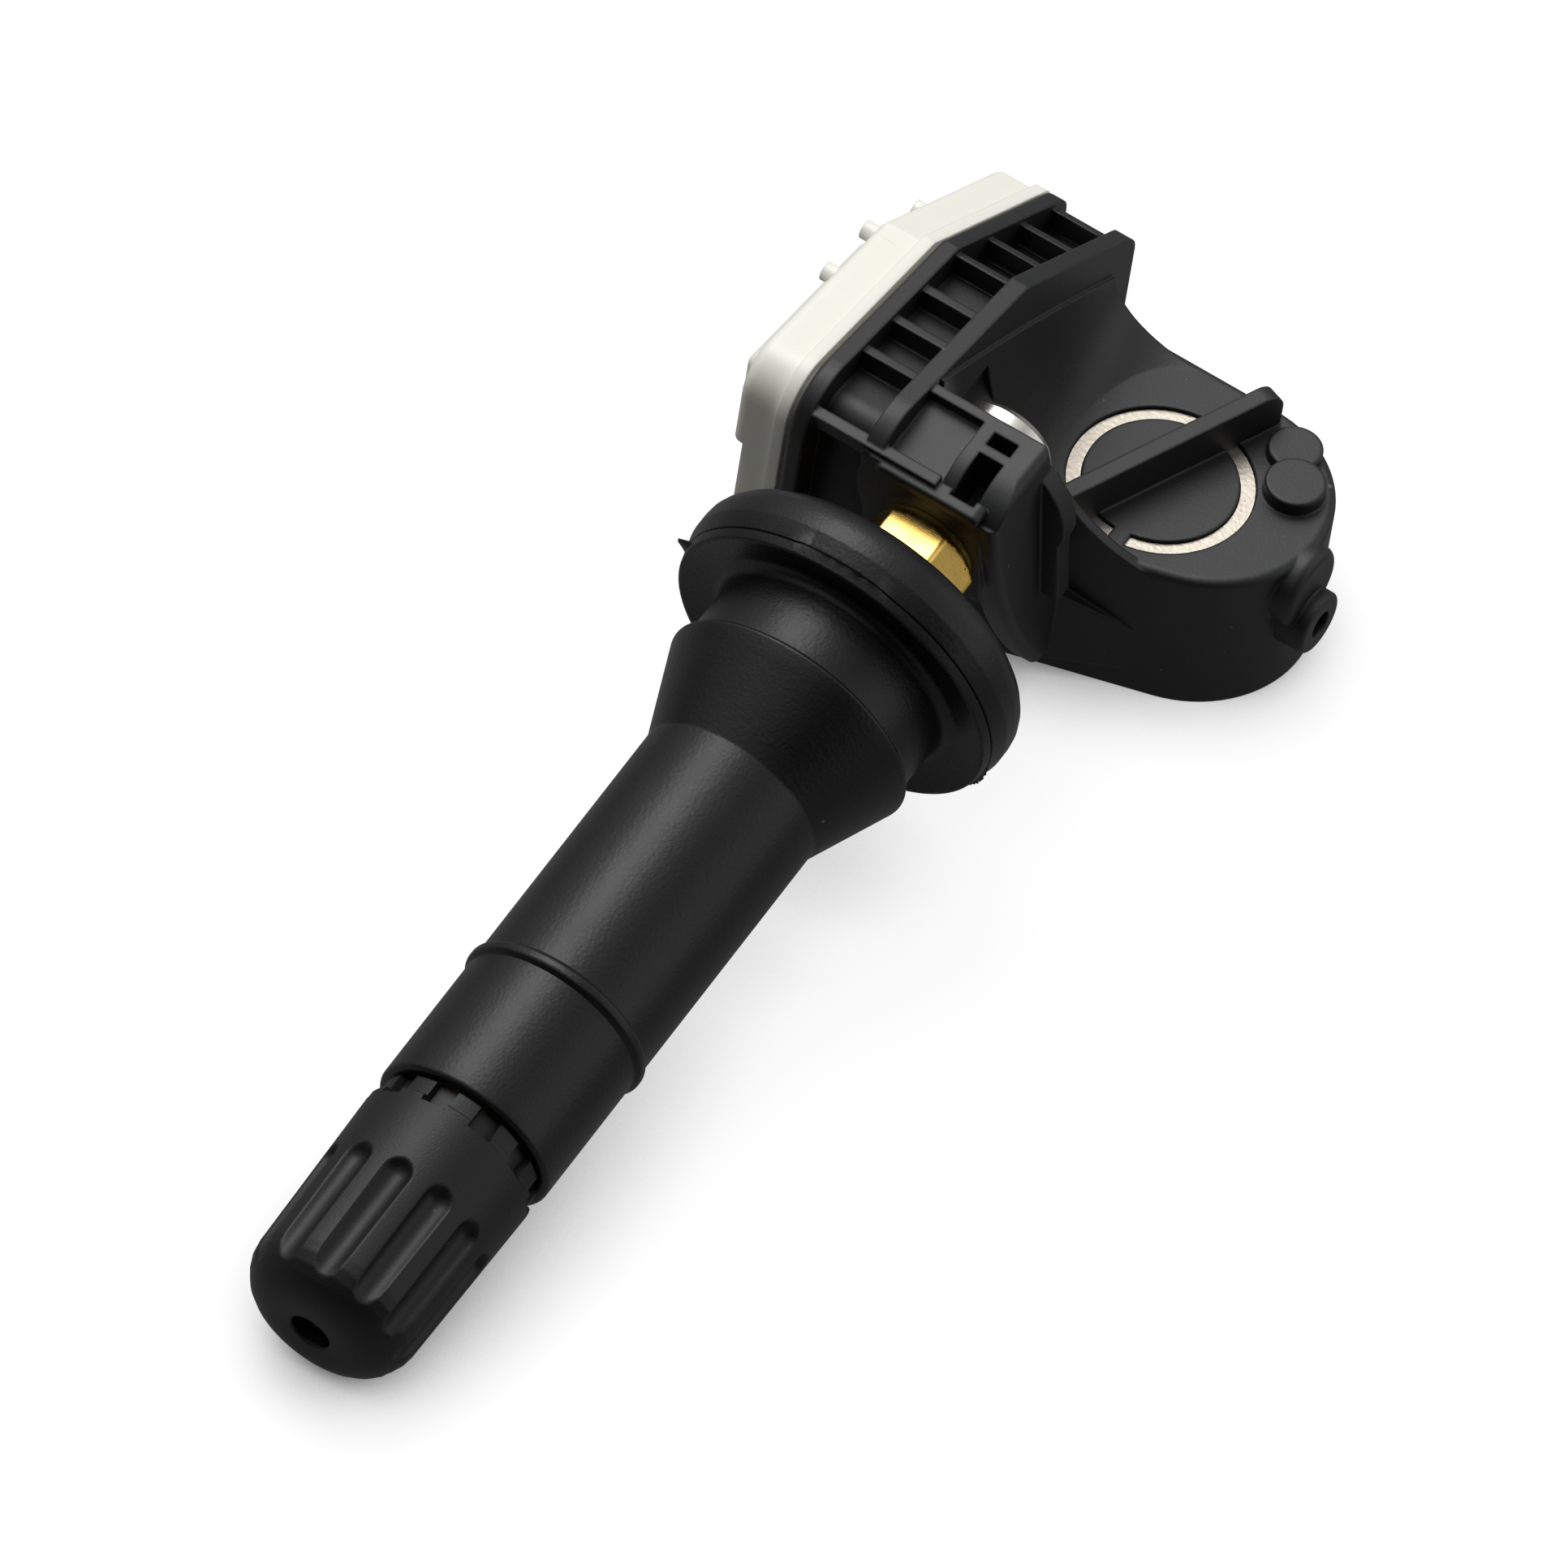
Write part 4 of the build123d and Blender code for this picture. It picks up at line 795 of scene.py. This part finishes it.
class TYRE_OT_rubber(bpy.types.Operator):
    """Moulded rubber of the valve, with its parting line and flash"""
    bl_idname = "tyre_sensor.rubber"
    bl_label = "Rubber valve"

    def execute(self, context):
        rubber = context.scene.tyre_rubber
        seam = rubber.seam_station

        def radius_at(station, radius, angle):
            on_seam = abs(station - seam) < 0.5 * rubber.seam_depth and radius > rubber.cone_radius
            return radius + (flash_height(rubber, angle) if on_seam else 0.0)

        mesh = turned_mesh("rubber_valve", rubber_outline(rubber), RUBBER_SEGMENTS, radius_at)
        material = rubber_material()
        piece_from_mesh("rubber_valve", mesh, material, BODY, "black_rubber", "valve_rubber")
        dress(material, "valve_cap_seal", "valve_core_seal")
        return {"FINISHED"}


def cap_outline(cap):
    """Half section of the cap as (station, radius) points."""
    hole_floor = -cap.end + cap.hole_depth
    pip_top = hole_floor - cap.pip_height
    corners = [
        (-cap.start, cap.bore_radius, 0.12),
        (-cap.start, cap.collar_radius, 0.1),
        (-cap.shoulder, cap.collar_radius, 0.05),
        (-cap.shoulder, cap.radius, 0.16),
        (-cap.end, cap.tip_radius, cap.end_rounding),
        (-cap.end, cap.hole_radius, 0.15),
        (hole_floor, cap.hole_radius, 0.1),
        (hole_floor, cap.pip_radius, 0.05),
        (pip_top, cap.pip_radius, 0.1),
        (pip_top, 0.0, 0.0),
        (-cap.floor, 0.0, 0.0),
        (-cap.floor, cap.bore_radius, 0.1),
    ]
    return divided(rounded(corners), FINE_ROW, cap.bore_radius + ROW_MARGIN, LONG_ROW)


class TYRE_OT_cap(bpy.types.Operator):
    """Fluted screw cap with its notched collar"""
    bl_idname = "tyre_sensor.cap"
    bl_label = "Valve cap"

    def execute(self, context):
        cap = context.scene.tyre_cap
        flute_centre = cap.radius - cap.flute_depth + cap.flute_radius
        flute_turn = 2 * pi / cap.flutes
        notch_turn = 2 * pi / cap.notches
        notch_floor = cap.collar_radius - cap.notch_depth
        near_tip = -cap.flute_start - cap.flute_radius
        far_tip = -cap.flute_end + cap.flute_radius

        def radius_at(station, radius, angle):
            if radius <= cap.bore_radius + 2 * ROW_MARGIN:
                return radius
            past = max(station - near_tip, far_tip - station, 0.0)
            if past < cap.flute_radius:
                reach = sqrt(cap.flute_radius ** 2 - past ** 2)
                turn = from_nearest(angle, flute_turn)
                aside = flute_centre * sin(turn)
                if abs(aside) < reach:
                    groove = flute_centre * cos(turn) - sqrt(reach ** 2 - aside ** 2)
                    share = min(1.0, max(0.0, 0.5 + 0.5 * (radius - groove) / cap.flute_easing))
                    radius += (groove - radius) * share - cap.flute_easing * share * (1 - share)
            if station > -cap.start - cap.notch_length:
                turn = from_nearest(angle, notch_turn)
                if abs(notch_floor * sin(turn)) < cap.notch_width / 2:
                    radius = min(radius, notch_floor)
            return radius

        mesh = turned_mesh("screw_cap", cap_outline(cap), CAP_SEGMENTS, radius_at, CAP_SHARP)
        piece_from_mesh("screw_cap", mesh, cap_material(), CAP_BODY, "cap_plastic", "valve_cap")
        return {"FINISHED"}


def stem_outline(stem):
    """Half section of the stem, with fine rows where the thread is cut."""
    barrel = bpy.context.scene.tyre_rubber
    mouth_end = stem.mouth_length - stem.tip
    core_end = stem.mouth_length + stem.core_length - stem.tip
    screw_end = stem.seat - stem.screw_depth
    corners = [
        (-stem.tip, stem.mouth_radius, 0.1),
        (-stem.tip, stem.thread_radius - TIP_CHAMFER, 0.0),
        (-stem.tip + TIP_CHAMFER, stem.thread_radius, 0.0),
        (-barrel.sleeve_end, stem.thread_radius, 0.0),
        (-barrel.sleeve_end, barrel.barrel_radius, 0.0),
        (-barrel.barrel_end, barrel.barrel_radius, 0.0),
        (-barrel.barrel_end, barrel.tube_radius, 0.0),
        (stem.hexagon_start, barrel.tube_radius, 0.0),
        (stem.hexagon_start, stem.hexagon_flats, 0.0),
        (stem.hexagon_end, stem.hexagon_flats, 0.0),
        (stem.hexagon_end, stem.collar_radius, 0.0),
        (stem.seat, stem.collar_radius, 0.0),
        (stem.seat, stem.screw_radius, 0.0),
        (screw_end, stem.screw_radius, 0.0),
        (screw_end, stem.air_radius, 0.0),
        (core_end, stem.air_radius, 0.0),
        (core_end, stem.core_radius, 0.0),
        (mouth_end, stem.core_radius, 0.0),
        (mouth_end, stem.mouth_radius, 0.0),
    ]
    return divided(rounded(corners), stem.thread_pitch / THREAD_ROWS, stem.thread_radius - ROW_MARGIN, STRAIGHT_ROW)


class TYRE_OT_stem(bpy.types.Operator):
    """Brass stem with its thread and hexagon, the valve core and the screw"""
    bl_idname = "tyre_sensor.stem"
    bl_label = "Brass stem, core and screw"

    def execute(self, context):
        stem = context.scene.tyre_stem
        barrel = context.scene.tyre_rubber
        flat = stem.hexagon_flats / 2
        corner = flat / cos(pi / 6)
        blunt_corner = corner - CORNER_WEAR
        thread_start = -stem.tip
        thread_end = -barrel.sleeve_end - 2 * stem.thread_pitch

        def radius_at(station, radius, angle):
            if station > stem.hexagon_start - 1e-6 and radius > stem.collar_radius + 1e-6:
                turn = from_nearest(angle - pi / 2, pi / 3)
                chamfer = corner - (station - stem.hexagon_end + stem.hexagon_chamfer) * (
                    (corner - barrel.tube_radius) / stem.hexagon_chamfer)
                return min(radius, flat / cos(turn), blunt_corner, max(chamfer, stem.collar_radius))
            if radius > stem.thread_radius - TIP_CHAMFER - ROW_MARGIN and thread_start <= station <= thread_end:
                share = (station / stem.thread_pitch - angle / (2 * pi)) % 1.0
                fade = min(1.0, (thread_end - station) / stem.thread_pitch)
                valley = max(0.0, 1.0 - abs(share - 0.5) * THREAD_FLANK)
                return radius - stem.thread_depth * valley * fade
            return radius

        mesh = turned_mesh("brass_stem", stem_outline(stem), STEM_SEGMENTS, radius_at)
        brass = brass_material()
        piece = piece_from_mesh("brass_stem", mesh, brass, BODY, "brass", "valve_stem")
        cut_hole(piece, on_axis(stem.port_station, 0.0, 0.0), SIDE, stem.port_radius * MM, 4 * corner * MM)
        dress(brass, "valve_core_body", "valve_core_pin")
        dress(small_part_material("Red gasket", display(168, 46, 34), 0.4, 0.55), "valve_core_gasket")
        dress(small_part_material("Spring wire", display(190, 188, 182), 0.22, 0.34, 1.0, 0.12), "valve_core_spring")
        dress(steel_material(), "stem_screw")
        return {"FINISHED"}


class TYRE_OT_housing(bpy.types.Operator):
    """Moulded housing, and the filter in its port"""
    bl_idname = "tyre_sensor.housing"
    bl_label = "Sensor housing"

    def execute(self, context):
        dress(nylon_material(), "sensor_housing")
        dress(small_part_material("Filter", display(226, 224, 216), 0.6, 0.8, 0.0, 0.08), "port_filter")
        return {"FINISHED"}


class TYRE_OT_lid(bpy.types.Operator):
    """Milky lid"""
    bl_idname = "tyre_sensor.lid"
    bl_label = "Lid"

    def execute(self, context):
        dress(lid_material(), "lid")
        return {"FINISHED"}


class TYRE_OT_battery(bpy.types.Operator):
    """Battery with its rim, and the tabs to the circuit board"""
    bl_idname = "tyre_sensor.battery"
    bl_label = "Battery and tabs"

    def execute(self, context):
        dress(ring_material(), "battery", "battery_tab_positive", "battery_tab_negative")
        return {"FINISHED"}


class TYRE_OT_electronics(bpy.types.Operator):
    """Circuit board and the pieces on it"""
    bl_idname = "tyre_sensor.electronics"
    bl_label = "Circuit board"

    def execute(self, context):
        chip = small_part_material("Chip mould", display(44, 44, 46), 0.5, 0.65)
        dress(board_material(), "circuit_board")
        dress(chip, "pressure_sensor_chip", "transmitter_chip")
        dress(small_part_material("Crystal can", display(205, 203, 198), 0.2, 0.34, 1.0), "crystal")
        dress(small_part_material("Ferrite", display(58, 55, 54), 0.45, 0.6), "antenna_coil_core")
        dress(copper_material(), "antenna_coil_winding")
        dress(small_part_material("Capacitors", display(176, 140, 98), 0.4, 0.55), "capacitors")
        return {"FINISHED"}


# Stage

def floor_material(stage):
    """White floor with a painted contact shadow.

    The camera sees the floor's own white, dimmed as a painted shadow where the sensor is close, and a share that takes
    the lights' shadow.
    Shiny surfaces see a little of the white, and little of the light is thrown back at the sensor.
    """
    material, tree, shader = plain_material("White floor", Roughness=0.9, Specular_IOR_Level=0.0)
    rays = add_node(tree, "LightPath").outputs
    share = blend_values(tree, rays["Is Camera Ray"], stage.floor_bounce, stage.floor_share)
    base = add_node(tree, "CombineColor", {0: share, 1: share, 2: share}).outputs[0]
    tree.links.new(base, shader.inputs["Base Color"])
    shader.inputs["Emission Color"].default_value = (1.0, 1.0, 1.0, 1.0)
    shiny = calculate(tree, "MAXIMUM", rays["Is Glossy Ray"], rays["Is Transmission Ray"])
    shown = calculate(tree, "MULTIPLY", shiny, stage.floor_gloss)
    # Ambient occlusion dims the floor's white into a painted contact shadow near the sensor
    open_sky = add_node(tree, "AmbientOcclusion", {"Distance": stage.contact_reach * MM}, samples=12)
    contact = between(tree, open_sky.outputs["AO"], 0.0, OPEN_FLOOR)
    white = calculate(tree, "MULTIPLY", contact, stage.floor_white)
    glow = blend_values(tree, rays["Is Camera Ray"], shown, white)
    tree.links.new(glow, shader.inputs["Emission Strength"])
    return material


def area_light(name, direction, distance, size, level, target):
    """Rectangular soft light that faces the target; level is the brightness of its face."""
    lamp = bpy.data.lights.new(name, "AREA")
    lamp.shape = "RECTANGLE"
    lamp.size, lamp.size_y = size
    lamp.energy = level * pi * size[0] * size[1]
    light = add_object(name, lamp)
    light.location = target + Vector(direction).normalized() * distance
    light.rotation_mode = "QUATERNION"
    light.rotation_quaternion = Vector(direction).to_track_quat("Z", "Y")
    return light


class TYRE_OT_stage(bpy.types.Operator):
    """Camera, white floor, soft key light and white surroundings"""
    bl_idname = "tyre_sensor.stage"
    bl_label = "Stage"

    def execute(self, context):
        scene = context.scene
        stage = scene.tyre_stage
        target = Vector(stage.target)
        self.place_camera(scene, stage, target)
        self.lay_floor(stage)
        area_light("Key light", stage.key_direction, stage.key_distance,
                   (stage.key_width, stage.key_height), stage.key_level, target)
        self.light_surroundings(scene, stage)
        scene.view_settings.view_transform = "Standard"
        return {"FINISHED"}

    def place_camera(self, scene, stage, target):
        """Camera at the picture's angle, rolled, far off so that the view is nearly parallel."""
        azimuth, elevation, roll = stage.azimuth, stage.elevation, stage.roll
        back = Vector((sin(azimuth) * cos(elevation), -cos(azimuth) * cos(elevation), sin(elevation)))
        level = Vector((cos(azimuth), sin(azimuth), 0.0))
        upright = back.cross(level)
        right = level * cos(roll) + upright * sin(roll)
        lens = bpy.data.cameras.new("Camera")
        lens.lens = stage.lens
        camera = add_object("Camera", lens)
        distance = stage.view_width * stage.lens / lens.sensor_width
        facing = Matrix((right, back.cross(right), back)).transposed()
        camera.matrix_world = Matrix.Translation(target + back * distance) @ facing.to_4x4()
        scene.camera = camera

    def lay_floor(self, stage):
        """Flat floor under the sensor's lowest point."""
        half = stage.floor_size / 2
        level = cad_box[0].z
        mesh = bpy.data.meshes.new("floor")
        corners = [(-half, -half, level), (half, -half, level), (half, half, level), (-half, half, level)]
        mesh.from_pydata(corners, [], [(0, 1, 2, 3)])
        floor = add_object("floor", mesh)
        mesh.materials.append(floor_material(stage))

    def light_surroundings(self, scene, stage):
        """Sky that is bright round the key light, pale to one side and dim elsewhere; the camera sees it as white."""
        world = bpy.data.worlds.new("Surroundings")
        scene.world = world
        world.use_nodes = True
        tree = world.node_tree
        background = next(node for node in tree.nodes if node.type == "BACKGROUND")
        background.inputs["Color"].default_value = (1.0, 1.0, 1.0, 1.0)
        place = add_node(tree, "TexCoord").outputs["Generated"]
        near_key = self.nearness(tree, place, stage.key_direction, stage.sky_edge, stage.full_edge)
        near_side = self.nearness(tree, place, stage.side_direction, stage.side_edge, stage.full_edge)
        level = blend_values(tree, near_key, stage.sky_low, stage.sky_high)
        side = calculate(tree, "MULTIPLY", near_side, stage.side_level)
        level = calculate(tree, "MAXIMUM", level, side)
        rays = add_node(tree, "LightPath").outputs
        level = blend_values(tree, rays["Is Camera Ray"], level, 1.0)
        tree.links.new(level, background.inputs["Strength"])

    def nearness(self, tree, place, direction, low, high):
        """Smooth mask of the sky near a direction, from the cosines of its outer and inner edges."""
        towards = tuple(Vector(direction).normalized())
        match = add_node(tree, "VectorMath", {0: place, 1: towards}, operation="DOT_PRODUCT")
        return between(tree, match.outputs["Value"], low, high)


class TYRE_PT_panel(bpy.types.Panel):
    """Lists the pieces of the tyre pressure sensor"""
    bl_idname = "TYRE_PT_panel"
    bl_label = "Tyre pressure sensor"
    bl_space_type = "VIEW_3D"
    bl_region_type = "UI"
    bl_category = "Tyre sensor"

    def draw(self, context):
        for operator in OPERATORS:
            self.layout.operator(operator.bl_idname)
        for group in SETTINGS:
            box = self.layout.box()
            for name in SETTINGS[group].__annotations__:
                box.prop(getattr(context.scene, group), name)


SETTINGS = {
    "tyre_rubber": RubberSettings,
    "tyre_cap": CapSettings,
    "tyre_stem": StemSettings,
    "tyre_housing": HousingSettings,
    "tyre_stage": StageSettings,
}
OPERATORS = (
    TYRE_OT_stage,
    TYRE_OT_rubber,
    TYRE_OT_cap,
    TYRE_OT_stem,
    TYRE_OT_housing,
    TYRE_OT_lid,
    TYRE_OT_battery,
    TYRE_OT_electronics,
)


def register():
    """Registers the settings, operators and panel."""
    for name, group in SETTINGS.items():
        bpy.utils.register_class(group)
        setattr(bpy.types.Scene, name, bpy.props.PointerProperty(type=group))
    for entry in (*OPERATORS, TYRE_PT_panel):
        bpy.utils.register_class(entry)


def unregister():
    """Removes the settings, operators and panel."""
    for entry in (TYRE_PT_panel, *reversed(OPERATORS)):
        bpy.utils.unregister_class(entry)
    for name, group in SETTINGS.items():
        delattr(bpy.types.Scene, name)
        bpy.utils.unregister_class(group)


def main():
    """Registers the settings, then builds the stage and every piece."""
    register()
    bpy.ops.tyre_sensor.stage()
    bpy.ops.tyre_sensor.rubber()
    bpy.ops.tyre_sensor.cap()
    bpy.ops.tyre_sensor.stem()
    bpy.ops.tyre_sensor.housing()
    bpy.ops.tyre_sensor.lid()
    bpy.ops.tyre_sensor.battery()
    bpy.ops.tyre_sensor.electronics()


if __name__ == "__main__":
    main()
